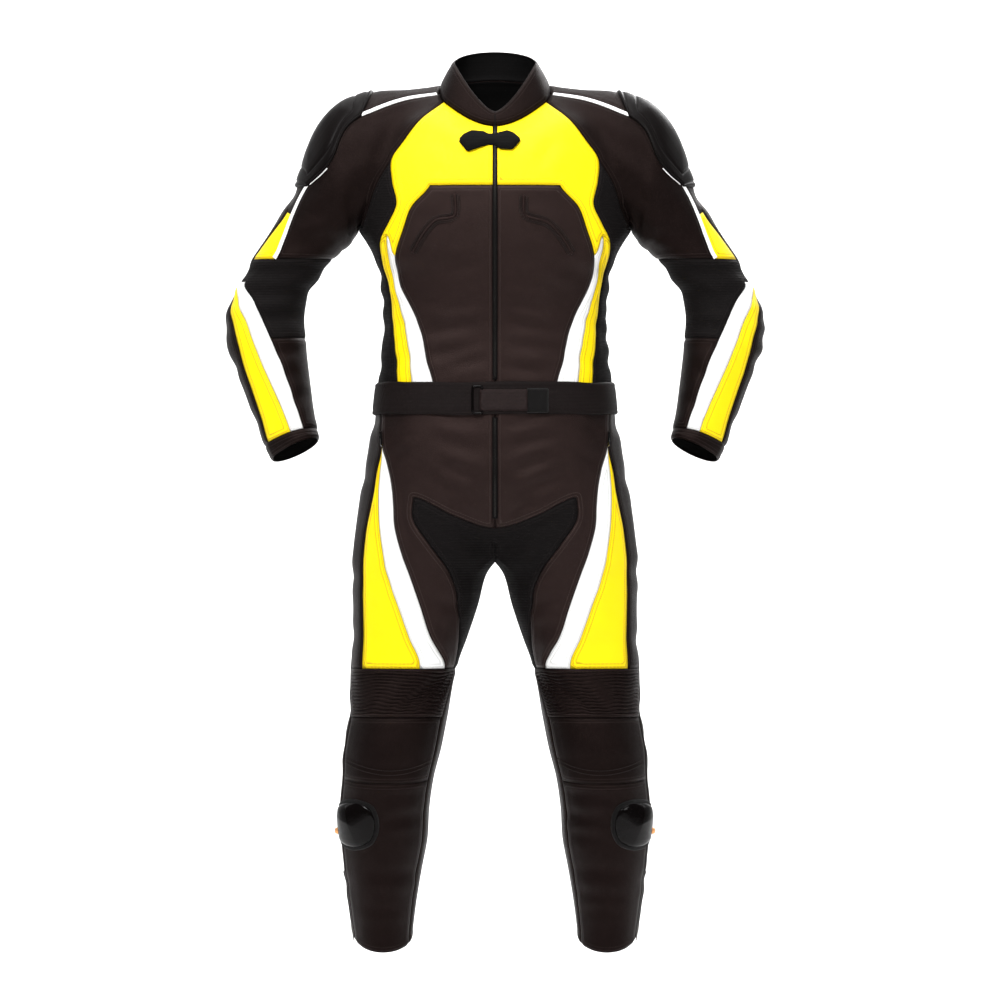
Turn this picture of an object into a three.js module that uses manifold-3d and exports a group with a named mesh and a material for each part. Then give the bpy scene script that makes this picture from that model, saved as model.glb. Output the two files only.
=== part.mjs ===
// A two-piece leather race suit, worn, with a hollow body and open neck, cuffs and hems.
// Millimetres, +Z up, the front faces -Y, and +X is the wearer's left.
// The origin is the middle of the neck between the shoulders, where the wearer holds the suit up.
// The cloth is one sheet of points on rings. Seams cut it into panels, and each panel is a thin solid.

import * as THREE from 'three';
import Module from 'manifold-3d';
import { mergeVertices } from 'three/addons/utils/BufferGeometryUtils.js';

const wasm = await Module();
wasm.setup();

// Cloth and gaps
const LEATHER = 2.0;
const SEAM_GAP = 0.3;
const MITRE_LIMIT = 2.0;
const SEATED_GAP = 0.4;
const CUT_DEPTH = 6;
const UP = new THREE.Vector3(0, 0, 1);
const ROUNDNESS = 2.3;

// Surface finishes
const BLACK = { color: 0x2a2221, roughness: 0.55, metalness: 0 };
const STRETCH = { color: 0x17141a, roughness: 0.9, metalness: 0 };
const YELLOW = { color: 0xffe800, roughness: 0.5, metalness: 0 };
const WHITE = { color: 0xf4f4f0, roughness: 0.5, metalness: 0 };
const PLASTIC = { color: 0x19191b, roughness: 0.3, metalness: 0 };
const METAL = { color: 0x8b8d90, roughness: 0.35, metalness: 0.9 };

// Upper body, a row for each ring from the neck down to the belt. Front seams have an x and a z each:
// body (side of the front body panel), band (white against yellow), edge (outside of the yellow)
// and arm (front of the armhole), then back, the back of the armhole.
// half, front and rear are the ring's half width and depths, mid and spine its front and back centre.
const JACKET = [
  { mid: -42, edge: [82, -2], back: [64, 30], spine: 36, half: 92, front: 68, rear: 66 },
  { mid: -60, edge: [120, -32], back: [104, -6], spine: 2, half: 168, front: 93, rear: 88 },
  { mid: -83, edge: [147, -67], back: [130, -42], spine: -34, half: 192, front: 108, rear: 102 },
  { mid: -107, edge: [166, -96], back: [150, -78], spine: -72, half: 206, front: 117, rear: 111 },
  { mid: -138, body: [104, -138], band: [147, -134], edge: [165, -131], arm: [189, -134],
    back: [168, -118], spine: -118, half: 216, front: 124, rear: 117 },
  { mid: -172, body: [134, -173], band: [150, -170], edge: [158, -168], arm: [202, -171],
    back: [184, -155], spine: -160, half: 222, front: 127, rear: 119 },
  { mid: -206, body: [147, -208], band: [162, -198], edge: [170, -196], arm: [209, -189],
    back: [198, -183], spine: -198, half: 223, front: 127, rear: 117 },
  { mid: -240, body: [160, -251], band: [173, -219], edge: [184, -226], arm: [212, -203],
    back: [206, -204], spine: -236, half: 220, front: 125, rear: 112 },
  { mid: -272, body: [157, -278], band: [169, -262], edge: [180, -264], side: -252, spine: -270,
    half: 190, front: 121, rear: 105 },
  { mid: -302, body: [150, -302], band: [161, -302], edge: [170, -302], side: -302, spine: -302,
    half: 182, front: 117, rear: 98 },
  { mid: -340, body: [131, -340], band: [150, -340], edge: [166, -340], side: -340, spine: -340,
    half: 179, front: 112, rear: 93 },
  { mid: -378, body: [117, -378], band: [142, -378], edge: [162, -378], side: -378, spine: -378,
    half: 180, front: 110, rear: 91 },
  { mid: -416, body: [110, -416], band: [137, -416], edge: [159, -416], side: -416, spine: -416,
    half: 183, front: 112, rear: 94 },
  { mid: -451, body: [100, -451], band: [134, -451], edge: [157, -451], side: -451, spine: -451,
    half: 187, front: 114, rear: 98 },
  { mid: -477, body: [98, -477], band: [134, -477], edge: [158, -477], side: -477, spine: -477,
    half: 189, front: 114, rear: 100 },
];
const BODY_TOP_ROW = 4;
const ARMPIT_ROW = 7;
const JACKET_HEM_ROW = JACKET.length - 1;
const JACKET_COLUMN = { body: 3, band: 4, edge: 5, arm: 6, back: 9, spine: 12 };
const CHEST_SHARES = [0, 0.2, 0.4, 0.6, 0.87, 1];
const NECK_DIP = 1.8;
const BACK_ANGLE = 118;

// Neck seam between the front corner and the back corner, x, y and z
const NECK_SIDE = [[88, -12, 12], [86, 14, 24]];

// Sleeve, a row for each ring from the shoulder to the cuff. outer and inner are the ring's ends, x and z.
// piping, middle and far are the angles of its seams, from 0 at the outer end towards the front.
const SLEEVE = [
  { outer: [141, 19], inner: [220, -210], depth: 74, ahead: 2, piping: 32, middle: 8, far: -16, tilt: 0 },
  { outer: [192, 16], inner: [223, -216], depth: 75, ahead: 0, piping: 44, middle: 12, far: -18, tilt: 0 },
  { outer: [238, -2], inner: [227, -222], depth: 76, ahead: 0, piping: 47, middle: 14, far: -20, tilt: 0 },
  { outer: [272, -34], inner: [231, -229], depth: 76, ahead: 0, piping: 61, middle: 20, far: -21, tilt: 0 },
  { outer: [294, -75], inner: [236, -234], depth: 74, ahead: 2, piping: 57, middle: 18, far: -20, tilt: 0 },
  { outer: [314, -125], inner: [242, -238], depth: 70, ahead: 4, piping: 44, middle: 17, far: -8, tilt: 0 },
  { outer: [339, -174], inner: [248, -243], depth: 66, ahead: 6, piping: 46, middle: 38, far: 29, tilt: 0 },
  { outer: [365, -216], inner: [254, -248], depth: 63, ahead: 8, piping: 57, middle: 38, far: 20, tilt: 0 },
  { outer: [389, -254], inner: [261, -254], depth: 62, ahead: 10, piping: 63, middle: 38, far: 13, tilt: 0 },
  { outer: [410, -290], inner: [283, -286], depth: 61, ahead: 12, piping: 30, middle: 3, far: -22, tilt: 0 },
  { outer: [427, -326], inner: [302, -318], depth: 61, ahead: 11, piping: 70, middle: 40, far: 18, tilt: 0 },
  { outer: [433, -362], inner: [306, -350], depth: 60, ahead: 6, piping: 88, middle: 63, far: 37, tilt: 0.05 },
  { outer: [429, -395], inner: [304, -382], depth: 58, ahead: -2, piping: 97, middle: 70, far: 43, tilt: 0.1 },
  { outer: [415, -432], inner: [300, -419], depth: 55, ahead: -12, piping: 104, middle: 73, far: 38, tilt: 0.15 },
  { outer: [400, -472], inner: [295, -459], depth: 51, ahead: -23, piping: 110, middle: 79, far: 37, tilt: 0.2 },
  { outer: [384, -512], inner: [290, -496], depth: 47, ahead: -34, piping: 115, middle: 85, far: 34, tilt: 0.25 },
  { outer: [368, -554], inner: [284, -528], depth: 43, ahead: -45, piping: 119, middle: 89, far: 28, tilt: 0.25 },
  { outer: [357, -576], inner: [282, -544], depth: 42, ahead: -50, piping: 119, middle: 89, far: 28, tilt: 0.25 },
];
const SLEEVE_COLUMNS = 20;
const SLEEVE_ROW = { yellowTop: 7, elbow: 9, stripes: 10, forearm: 13, cuff: 17 };
const SLEEVE_COLUMN = { middle: 0, piping: 1, inner: 11, elbowBack: 13, far: 19 };

// Trousers above the crotch, a row for each ring. stretch is the outer edge of the inner-thigh panel,
// white, band and edge are the stripe's seams, and split draws the two legs apart.
const HIPS = [
  { mid: -477.05, stretch: [92, -477.05], white: [182, -477.05], side: -477.05, spine: -477.05,
    half: 189, front: 114, rear: 100, split: 0 },
  { mid: -504, stretch: [96, -504], white: [183, -504], side: -504, spine: -504,
    half: 192, front: 114, rear: 103, split: 0 },
  { mid: -532, stretch: [104, -530], white: [183, -530], side: -530, spine: -532,
    half: 198, front: 117, rear: 112, split: 0 },
  { mid: -562, stretch: [112, -557], white: [181, -555], side: -557, spine: -562,
    half: 203, front: 118, rear: 120, split: 0 },
  { mid: -604, stretch: [120, -588], white: [169, -600], band: [185, -598], edge: [190, -597],
    side: -596, spine: -600, half: 209, front: 118, rear: 125, split: 0 },
  { mid: -646, stretch: [127, -612], white: [165, -625], band: [187, -625], edge: [194, -625],
    side: -620, spine: -636, half: 214, front: 115, rear: 126, split: 0.08 },
  { mid: -686, stretch: [130, -636], white: [163, -650], band: [187, -650], edge: [199, -650],
    side: -648, spine: -668, half: 219, front: 112, rear: 124, split: 0.2 },
  { mid: -708, stretch: [131, -670], white: [161, -683], band: [185, -688], edge: [206, -684],
    side: -684, spine: -698, half: 224, front: 110, rear: 120, split: 0.35 },
  { mid: -726, stretch: [104, -712], white: [149, -728], band: [179, -730], edge: [211, -728],
    side: -730, spine: -724, half: 229, front: 106, rear: 114, split: 0.5 },
];
const STRETCH_ROW = 6;
const SPLIT_EASE = 60;
const CROTCH_ROW = HIPS.length - 1;

// Crotch seam under the body from back to front, x, y and z
const CROTCH = [[0, 28, -738], [0, -14, -738]];

// Legs below the crotch. outer and inner are the leg's ends in x, and sag lowers the ring's front.
const LEG = [
  { z: -760, outer: 229, inner: 14, depth: 99, ahead: 4, stretch: 70, white: 137, band: 173, edge: 212,
    inseam: 150, sag: 0 },
  { z: -808, outer: 228, inner: 27, depth: 95, ahead: 2, stretch: 58, white: 120, band: 156, edge: 212,
    inseam: 156, sag: 0 },
  { z: -859, outer: 228, inner: 44, depth: 90, ahead: -1, stretch: 57, white: 103, band: 138, edge: 211,
    inseam: 163, sag: 0 },
  { z: -910, outer: 231, inner: 62, depth: 85, ahead: -4, stretch: 66, white: 80, band: 120, edge: 213,
    inseam: 172, sag: 0 },
  { z: -987, outer: 235, inner: 76, depth: 80, ahead: -9, sag: 0 },
  { z: -1037, outer: 244, inner: 86, depth: 80, ahead: -14, sag: 4 },
  { z: -1084, outer: 246, inner: 98, depth: 75, ahead: -12, sag: 10 },
  { z: -1133, outer: 250, inner: 105, depth: 72, ahead: -4, sag: 4 },
  { z: -1182, outer: 248, inner: 108, depth: 70, ahead: 6, sag: 0 },
  { z: -1230, outer: 243, inner: 117, depth: 66, ahead: 16, sag: 0 },
  { z: -1277, outer: 236, inner: 125, depth: 60, ahead: 24, sag: 3 },
  { z: -1314, outer: 231, inner: 130, depth: 54, ahead: 30, sag: 10 },
  { z: -1340, outer: 226, inner: 133, depth: 52, ahead: 33, sag: 26 },
];
const LEG_COLUMN = { stretch: 2, white: 4, band: 5, edge: 6, side: 7, backSide: 8, spine: 12, crotch: 13 };
const LEG_COLUMNS = 15;
const LOWER_ANGLES = [168, 152, 132, 112, 92, 72, 48, 18];
const BACK_ANGLES = [5, -20, -45, -70, -100, -134, -161];
const LEG_ROW = { accordion: 12, knee: 13, shin: 15 };

// Pleats above the knee
const PLEATS = 8;
const PLEAT_HEIGHT = 3;

// Collar
const COLLAR_HALF_WIDTH = 66;
const COLLAR_HALF_DEPTH = 62;
const COLLAR_TOP = { front: -18, side: 62, back: 82, curve: 1.2 };
const COLLAR_MIDDLE = { share: 0.55, bulge: 0.04 };

// Belt over the seam between jacket and trousers
const BELT = { rings: [[-452, 188], [-477.5, 191], [-503, 193.5]], front: 116, rear: 103, clear: 0.3,
  thick: 2.4, columns: 40 };
const STRAP = { from: -24, to: 84, top: -464, bottom: -498, thick: 2, lift: 0.7, step: 9 };
const LOOP = { x: -28, width: 19, height: 46, bar: 3.5, thick: 2.6, z: -480, lift: 0.7 };

// Narrow pieces laid on the cloth
const PIPING = { width: 5, rise: 1.6, lift: 0.2 };
const FRONT_ZIP = { width: 9, rise: 1.6, lift: 0.5, from: 0.04, to: 12.95, step: 0.5 };
const FLY_ZIP = { width: 8, rise: 1.6, lift: 0.3, from: 1.1, to: 5.6, step: 0.5 };
const ANKLE_ZIP = { width: 8, rise: 1.4, lift: 0.5, column: 7.5, from: 9.1, to: 11.9, step: 0.35 };

// Tab over the top of the zip: its half height and its lift off the chest, along its half length
const TAB = { z: -67, thick: 2.4, half: [
  { x: 0, height: 10, lift: 4.5 }, { x: 8, height: 10.5, lift: 4.2 }, { x: 17, height: 14.5, lift: 2.2 },
  { x: 28, height: 16.5, lift: 1.2 }, { x: 38, height: 9, lift: 1 }, { x: 47, height: 1.2, lift: 0.8 },
] };

// Hard shells laid on the cloth, by the rows and columns of their middle and half size
const CUP = { row: 4.1, column: -1, rows: 2.05, columns: 1.75, rim: 3, dome: 7, steps: 8, square: 0.72,
  sink: 3 };
const SLIDER = { row: 7.5, column: 6, rows: 0.85, columns: 1.5, rim: 5, dome: 9, steps: 8, square: 0.95,
  sink: 3 };

// Zip slider at the hem and its pull tab
const HEM_SLIDER = { row: 11.45, width: 7, length: 9, height: 4, sink: 0.6, overlap: 0.5 };
const LUG = { width: 1.2, gap: 2.05, length: 5, rise: 0.1, lower: 1 };
const PULL = { neck: 1.7, pivot: -3.2, away: 2.2, thick: 1.6, top: 1, waist: -3.5, shoulder: -6, width: 8,
  length: 17, hole: 4.4 };

const cloth = { points: [], known: new Map(), faces: [] };

const radians = (degrees) => degrees * Math.PI / 180;
const mix = (a, b, t) => a + (b - a) * t;

function addPoint(x, y, z) {
  const key = [x, y, z].map((v) => `${Math.round(v * 100)}`).join();
  if (!cloth.known.has(key)) {
    cloth.known.set(key, cloth.points.length);
    cloth.points.push(new THREE.Vector3(x, y, z));
  }
  return cloth.known.get(key);
}

// Adds a face from its corners, less the ones that fall together
function addFace(panel, ids) {
  const corners = ids.filter((id, i) => id !== ids[(i + 1) % ids.length]);
  if (corners.length > 2) cloth.faces.push({ panel, corners });
}

// A point of a rounded ring: 0 degrees at the front centre, 90 at the side, 180 at the back
function onRing(row, angle) {
  const turn = radians(angle);
  const across = Math.abs(Math.sin(turn)) ** (2 / ROUNDNESS);
  const along = Math.abs(Math.cos(turn)) ** (2 / ROUNDNESS);
  const depth = angle < 90 ? -row.front : row.rear;
  return [row.half * across, depth * along];
}

const ringAngle = (row, x) => Math.asin(Math.min(1, x / row.half) ** (ROUNDNESS / 2)) * 180 / Math.PI;

// Half of a jacket ring, from the front centre to the back centre
function jacketRing(row) {
  const points = [];
  const put = (angle, z) => points.push([...onRing(row, angle), z]);
  const front = (x, z) => put(ringAngle(row, x), z);
  const back = (x, z) => put(180 - ringAngle(row, x), z);
  if (!row.body) {
    CHEST_SHARES.forEach((share) => {
      front(row.edge[0] * share, mix(row.mid, row.edge[1], share ** NECK_DIP));
    });
  } else {
    [0, 1 / 3, 2 / 3].forEach((share) => {
      front(row.body[0] * share, mix(row.mid, row.body[1], share ** 2));
    });
    [row.body, row.band, row.edge].forEach(([x, z]) => front(x, z));
  }
  const arm = row.arm ?? row.edge;
  const start = row.side === undefined ? ringAngle(row, arm[0]) : ringAngle(row, row.edge[0]);
  if (row.side === undefined) {
    front(...arm);
    const end = 180 - ringAngle(row, row.back[0]);
    [1 / 3, 2 / 3].forEach((t) => put(mix(start, end, t), mix(arm[1], row.back[1], t)));
    back(...row.back);
    [2 / 3, 1 / 3, 0].forEach((share) => {
      back(row.back[0] * share, mix(row.spine, row.back[1], share ** NECK_DIP));
    });
  } else {
    [0.25, 0.5, 0.75, 1].forEach((t) => put(mix(start, BACK_ANGLE, t), mix(row.edge[1], row.side, t)));
    [1 / 3, 2 / 3, 1].forEach((t) => put(mix(BACK_ANGLE, 180, t), mix(row.side, row.spine, t)));
  }
  return points;
}

// Half of a ring of the hips; below the fork each half turns into the top of a leg
function hipRing(row) {
  const band = row.band ?? row.white;
  const edge = row.edge ?? row.white;
  const [sx, sz] = row.stretch;
  const [wx, wz] = row.white;
  const seams = [[0, row.mid], [sx / 2, mix(row.mid, sz, 0.4)], [sx, sz], [(sx + wx) / 2, (sz + wz) / 2],
    [wx, wz], band, edge];
  const angles = seams.map(([x, z]) => [ringAngle(row, x), z]);
  const start = angles[6][0];
  for (let i = 1; i <= 6; i++) {
    const t = i / 6;
    const z = i < 3 ? mix(edge[1], row.side, i / 2) : mix(row.side, row.spine, (i - 2) / 4);
    angles.push([mix(start, 180, t), z]);
  }
  return angles.map(([angle, z]) => {
    const [x, y] = onRing(row, angle);
    const legHalf = row.half / 2;
    const share = Math.sqrt(Math.max(0, 1 - ((x - legHalf) / legHalf) ** 2));
    const depth = (y < 0 ? -row.front : row.rear) * share * Math.min(1, Math.abs(y) / SPLIT_EASE);
    return [x, mix(y, depth, row.split), z];
  });
}

// A point of a leg's ring: 0 degrees at the outer end, 90 at the front
function onLeg(row, angle) {
  const turn = radians(angle);
  const middle = (row.outer + row.inner) / 2;
  const x = middle + (row.outer - row.inner) / 2 * Math.cos(turn);
  const y = row.ahead - row.depth * Math.sin(turn);
  return [x, y, row.z - row.sag * Math.max(0, Math.sin(turn))];
}

function legRing(row) {
  const angleAt = (x) => Math.acos(1 - 2 * (row.outer - x) / (row.outer - row.inner)) * 180 / Math.PI;
  let angles = LOWER_ANGLES;
  if (row.stretch) {
    const [stretch, white, band, edge] = [row.stretch, row.white, row.band, row.edge].map(angleAt);
    angles = [row.inseam, (row.inseam + stretch) / 2, stretch, (stretch + white) / 2, white, band, edge,
      BACK_ANGLES[0]];
  }
  const under = (angles[0] - 360 + BACK_ANGLES.at(-1)) / 2;
  return [...angles, ...BACK_ANGLES.slice(1), under].map((angle) => onLeg(row, angle));
}

// Ring of a sleeve; the piping seam comes first, then the front, the underarm and the back
function sleeveRing(row) {
  const [ox, oz] = row.outer;
  const [ix, iz] = row.inner;
  const angles = [row.middle];
  for (let i = 0; i < SLEEVE_COLUMNS - 1; i++) {
    angles.push(mix(row.piping, row.far + 360, i / (SLEEVE_COLUMNS - 2)));
  }
  return angles.map((angle) => {
    const turn = radians(angle);
    const reach = (1 - Math.cos(turn)) / 2;
    const y = -row.depth * Math.sin(turn);
    return [mix(ox, ix, reach), row.ahead + y, mix(oz, iz, reach) - row.tilt * y];
  });
}

// Cuts a grid of rings, listed downwards, into panels. panelAt gives a cell's panel, or nothing for a hole.
function addCells(grid, panelAt, columns, flip) {
  for (let r = 0; r + 1 < grid.length; r++) {
    for (let c = 0; c < columns; c++) {
      const panel = panelAt(r, c);
      if (!panel) continue;
      const next = (c + 1) % grid[r].length;
      const ids = [grid[r][c], grid[r + 1][c], grid[r + 1][next], grid[r][next]];
      addFace(panel, flip ? ids.reverse() : ids);
    }
  }
}

function jacketPanel(side) {
  const { body, band, edge, arm, back } = JACKET_COLUMN;
  return (r, c) => {
    if (c >= back) return 'back';
    if (r < BODY_TOP_ROW) {
      if (c < edge) return `chest_${side}`;
      return c === edge && r === BODY_TOP_ROW - 1 ? `side_stretch_${side}` : null;
    }
    if (c < body) return `front_body_${side}`;
    if (r < ARMPIT_ROW) {
      if (c < edge) return `chest_${side}`;
      return c < arm ? `side_stretch_${side}` : null;
    }
    if (c < band) return `side_white_${side}`;
    return c < edge ? `side_yellow_${side}` : `side_stretch_${side}`;
  };
}

function sleevePanel(side) {
  const { yellowTop, elbow, stripes, forearm, cuff } = SLEEVE_ROW;
  const { middle, piping, inner, elbowBack, far } = SLEEVE_COLUMN;
  return (r, c) => {
    const outside = c === middle || c === far;
    if (r >= cuff) return `cuff_${side}`;
    if (r < elbow) {
      if (c >= piping && c < inner) return `sleeve_front_${side}`;
      return outside && r >= yellowTop ? `upper_arm_yellow_${side}` : `sleeve_back_${side}`;
    }
    if (c >= elbowBack && c < far) return `sleeve_back_${side}`;
    if (r < stripes) return `elbow_stretch_${side}`;
    if (c === middle) return `forearm_white_${side}`;
    if (c === far) return `forearm_yellow_${side}`;
    return r < forearm ? `elbow_stretch_${side}` : `forearm_front_${side}`;
  };
}

function trouserPanel(side) {
  const { stretch, white, band, edge, side: outside, backSide, spine, crotch } = LEG_COLUMN;
  return (r, c) => {
    const front = c >= 1 && c < outside;
    if (r >= LEG_ROW.accordion) {
      if (!front) return `leg_back_${side}`;
      if (r < LEG_ROW.knee) return `knee_accordion_${side}`;
      return r < LEG_ROW.shin ? `knee_${side}` : `shin_${side}`;
    }
    if (c === spine || c >= crotch) return 'crotch_stretch';
    if (c < white) return r >= STRETCH_ROW && c < stretch ? 'crotch_stretch' : `thigh_front_${side}`;
    if (c < band) return `thigh_white_${side}`;
    if (c < edge) return `thigh_yellow_${side}`;
    return r < CROTCH_ROW && c >= backSide ? 'seat' : `leg_back_${side}`;
  };
}

// Builds one half of the suit and returns its grids of point numbers
function buildHalf(sign, side) {
  const place = ([x, y, z]) => addPoint(sign * x, y, z);
  const jacket = JACKET.map((row) => jacketRing(row).map(place));
  const spineColumn = JACKET_COLUMN.spine;
  const mirrored = sign < 0;
  addCells(jacket, jacketPanel(side), spineColumn, mirrored);

  const neck = NECK_SIDE.map(place);
  const armRows = jacket.slice(0, ARMPIT_ROW + 1);
  const armhole = [neck[1], neck[0], ...armRows.map((ids, r) => ids[JACKET[r].arm ? 6 : 5]),
    jacket[ARMPIT_ROW][7], jacket[ARMPIT_ROW][8], ...armRows.map((ids) => ids[9]).reverse()];
  const sleeve = [armhole, ...SLEEVE.map((row) => sleeveRing(row).map(place))];
  addCells(sleeve, sleevePanel(side), SLEEVE_COLUMNS, !mirrored);

  const hips = HIPS.map((row) => hipRing(row).map(place));
  const crotch = CROTCH.map(place);
  const legs = LEG.map((row) => legRing(row).map(place));
  const fork = [...hips.at(-1), ...crotch];
  const hipPanels = trouserPanel(side);
  addCells(hips, hipPanels, LEG_COLUMN.spine, mirrored);
  const legPanels = (r, c) => hipPanels(r + CROTCH_ROW, c);
  addCells([fork, ...legs], legPanels, LEG_COLUMNS, mirrored);
  return { jacket, sleeve, hips, legs, neck, mirrored };
}

// The collar stands on the neck seam as three rings
function buildCollar(halves) {
  for (const { half, sign } of halves) {
    const seam = [...half.jacket[0].slice(0, 6), ...half.neck, ...half.jacket[0].slice(9)];
    const base = seam.map((id) => cloth.points[id]);
    const ringAt = (share, bulge) => base.map((p) => {
      const turn = Math.atan2(Math.abs(p.x), -p.y);
      const t = turn / Math.PI;
      const top = t < 0.5
        ? mix(COLLAR_TOP.front, COLLAR_TOP.side, Math.sin(turn) ** COLLAR_TOP.curve)
        : mix(COLLAR_TOP.side, COLLAR_TOP.back, Math.sin(turn - Math.PI / 2));
      const x = COLLAR_HALF_WIDTH * Math.sin(turn) * sign;
      const y = -COLLAR_HALF_DEPTH * Math.cos(turn);
      const out = 1 + bulge;
      return addPoint(mix(p.x, x, share) * out, mix(p.y, y, share) * out, mix(p.z, top, share));
    });
    const middle = ringAt(COLLAR_MIDDLE.share, COLLAR_MIDDLE.bulge);
    addCells([ringAt(1, 0), middle, seam], () => 'collar', seam.length - 1, sign < 0);
  }
}

function vertexNormals() {
  const normals = cloth.points.map(() => new THREE.Vector3());
  for (const { corners } of cloth.faces) {
    const p = corners.map((id) => cloth.points[id]);
    corners.forEach((id, i) => {
      const before = p[(i + p.length - 1) % p.length];
      const after = p[(i + 1) % p.length];
      const one = after.clone().sub(p[i]).normalize();
      const two = before.clone().sub(p[i]).normalize();
      const weight = Math.acos(Math.min(1, Math.max(-1, one.dot(two))));
      const normal = one.cross(two);
      if (normal.length() > 1e-6) normals[id].addScaledVector(normal.normalize(), weight);
    });
  }
  return normals.map((normal) => normal.normalize());
}

// The solid of a panel: its outside a little inside its seams, its inside one thickness down
function panelSolid(faces, points, normals, thickness, ridges = new Set()) {
  const edges = new Map();
  for (const corners of faces) {
    corners.forEach((a, i) => edges.set(`${a},${corners[(i + 1) % corners.length]}`, corners));
  }
  const pull = new Map();
  const rim = [];
  for (const [key, corners] of edges) {
    const [a, b] = key.split(',').map(Number);
    if (edges.has(`${b},${a}`)) continue;
    rim.push([a, b]);
    const along = points[b].clone().sub(points[a]).normalize();
    const face = new THREE.Vector3();
    corners.forEach((id) => face.add(normals[id]));
    const inward = face.cross(along).normalize();
    for (const id of [a, b]) pull.set(id, [...(pull.get(id) ?? []), inward]);
  }
  const outer = new Map();
  const inner = new Map();
  const place = (id) => {
    if (outer.has(id)) return;
    const p = points[id].clone();
    const pulls = pull.get(id) ?? [];
    if (pulls.length) {
      const sum = pulls.reduce((total, v) => total.add(v), new THREE.Vector3());
      const step = Math.min(MITRE_LIMIT, pulls.length / sum.length());
      p.addScaledVector(sum.normalize(), step * SEAM_GAP / 2);
    }
    inner.set(id, p.clone().addScaledVector(normals[id], -thickness));
    outer.set(id, ridges.has(id) ? p.addScaledVector(normals[id], PLEAT_HEIGHT) : p);
  };
  faces.flat().forEach(place);
  const position = [];
  const triangle = (...corners) => corners.forEach((p) => position.push(p.x, p.y, p.z));
  for (const corners of faces) {
    for (const [a, b, c] of splitFace(corners, points)) {
      triangle(outer.get(a), outer.get(b), outer.get(c));
      triangle(inner.get(a), inner.get(c), inner.get(b));
    }
  }
  for (const [a, b] of rim) {
    const [cut, over] = a < b ? [a, b] : [b, a];
    triangle(outer.get(a), inner.get(over), outer.get(b));
    triangle(inner.get(b), outer.get(cut), inner.get(a));
  }
  const geometry = new THREE.BufferGeometry();
  geometry.setAttribute('position', new THREE.Float32BufferAttribute(position, 3));
  return geometry;
}

// Splits a face along its shorter diagonal
function splitFace(corners, points) {
  if (corners.length === 3) return [corners];
  const [a, b, c, d] = corners;
  const short = points[a].distanceTo(points[c]) < points[b].distanceTo(points[d]);
  return short ? [[a, b, c], [a, c, d]] : [[a, b, d], [b, c, d]];
}

// Closed solid between two grids of points, upper and lower, of the same size
function slab(upper, lower) {
  const position = [];
  const face = (a, b, c, d) => [a, b, c, a, c, d].forEach((p) => position.push(p.x, p.y, p.z));
  const rows = upper.length - 1;
  const columns = upper[0].length - 1;
  for (let r = 0; r < rows; r++) {
    for (let c = 0; c < columns; c++) {
      face(upper[r][c], upper[r + 1][c], upper[r + 1][c + 1], upper[r][c + 1]);
      face(lower[r][c], lower[r][c + 1], lower[r + 1][c + 1], lower[r + 1][c]);
    }
    face(upper[r][0], lower[r][0], lower[r + 1][0], upper[r + 1][0]);
    face(upper[r + 1][columns], lower[r + 1][columns], lower[r][columns], upper[r][columns]);
  }
  for (let c = 0; c < columns; c++) {
    face(upper[0][c + 1], lower[0][c + 1], lower[0][c], upper[0][c]);
    face(upper[rows][c], lower[rows][c], lower[rows][c + 1], upper[rows][c + 1]);
  }
  const geometry = new THREE.BufferGeometry();
  geometry.setAttribute('position', new THREE.Float32BufferAttribute(position, 3));
  return outward(geometry);
}

// Turns a closed mesh the right way out
function outward(geometry) {
  const p = geometry.attributes.position;
  const at = (i) => new THREE.Vector3().fromBufferAttribute(p, i);
  let volume = 0;
  for (let i = 0; i < p.count; i += 3) volume += at(i).dot(at(i + 1).cross(at(i + 2)));
  if (volume > 0) return geometry;
  for (let i = 0; i < p.count; i += 3) {
    const [b, c] = [at(i + 1), at(i + 2)];
    p.setXYZ(i + 1, c.x, c.y, c.z);
    p.setXYZ(i + 2, b.x, b.y, b.z);
  }
  return geometry;
}

// A place on a grid of the cloth between its points, with the normal there
function onGrid(grid, row, column) {
  const r = Math.min(grid.length - 2, Math.floor(row));
  const count = grid[r].length;
  const c = Math.floor(column);
  const weights = [[0, 0], [1, 0], [0, 1], [1, 1]].map(([i, j]) => {
    const weight = Math.abs(1 - i - (row - r)) * Math.abs(1 - j - (column - c));
    return [grid[r + i][(c + j + count) % count], weight];
  });
  const spot = { point: new THREE.Vector3(), normal: new THREE.Vector3() };
  for (const [id, weight] of weights) {
    spot.point.addScaledVector(cloth.points[id], weight);
    spot.normal.addScaledVector(normals[id], weight);
  }
  spot.normal.normalize();
  return spot;
}

const raised = ({ point, normal }, height) => point.clone().addScaledVector(normal, height);

function steps(from, to, step) {
  const count = Math.max(1, Math.round((to - from) / step));
  return Array.from({ length: count + 1 }, (_, i) => mix(from, to, i / count));
}

// A strip laid along a column of the cloth. spotAt gives a place from a row and a distance sideways.
function strip(rows, size, spotAt) {
  const places = rows.map((row) => [-0.5, 0, 0.5].map((share) => spotAt(row, share * size.width)));
  const upper = places.map((line) => line.map((spot) => raised(spot, size.lift + size.rise)));
  return slab(upper, places.map((line) => line.map((spot) => raised(spot, size.lift))));
}

// Finds the place that lies a distance sideways of a column on a grid
function beside(grid, row, column, distance) {
  const here = onGrid(grid, row, column).point;
  const reach = here.distanceTo(onGrid(grid, row, column + Math.sign(distance) * 0.5).point) || 1;
  return onGrid(grid, row, column + 0.5 * distance / reach);
}

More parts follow.
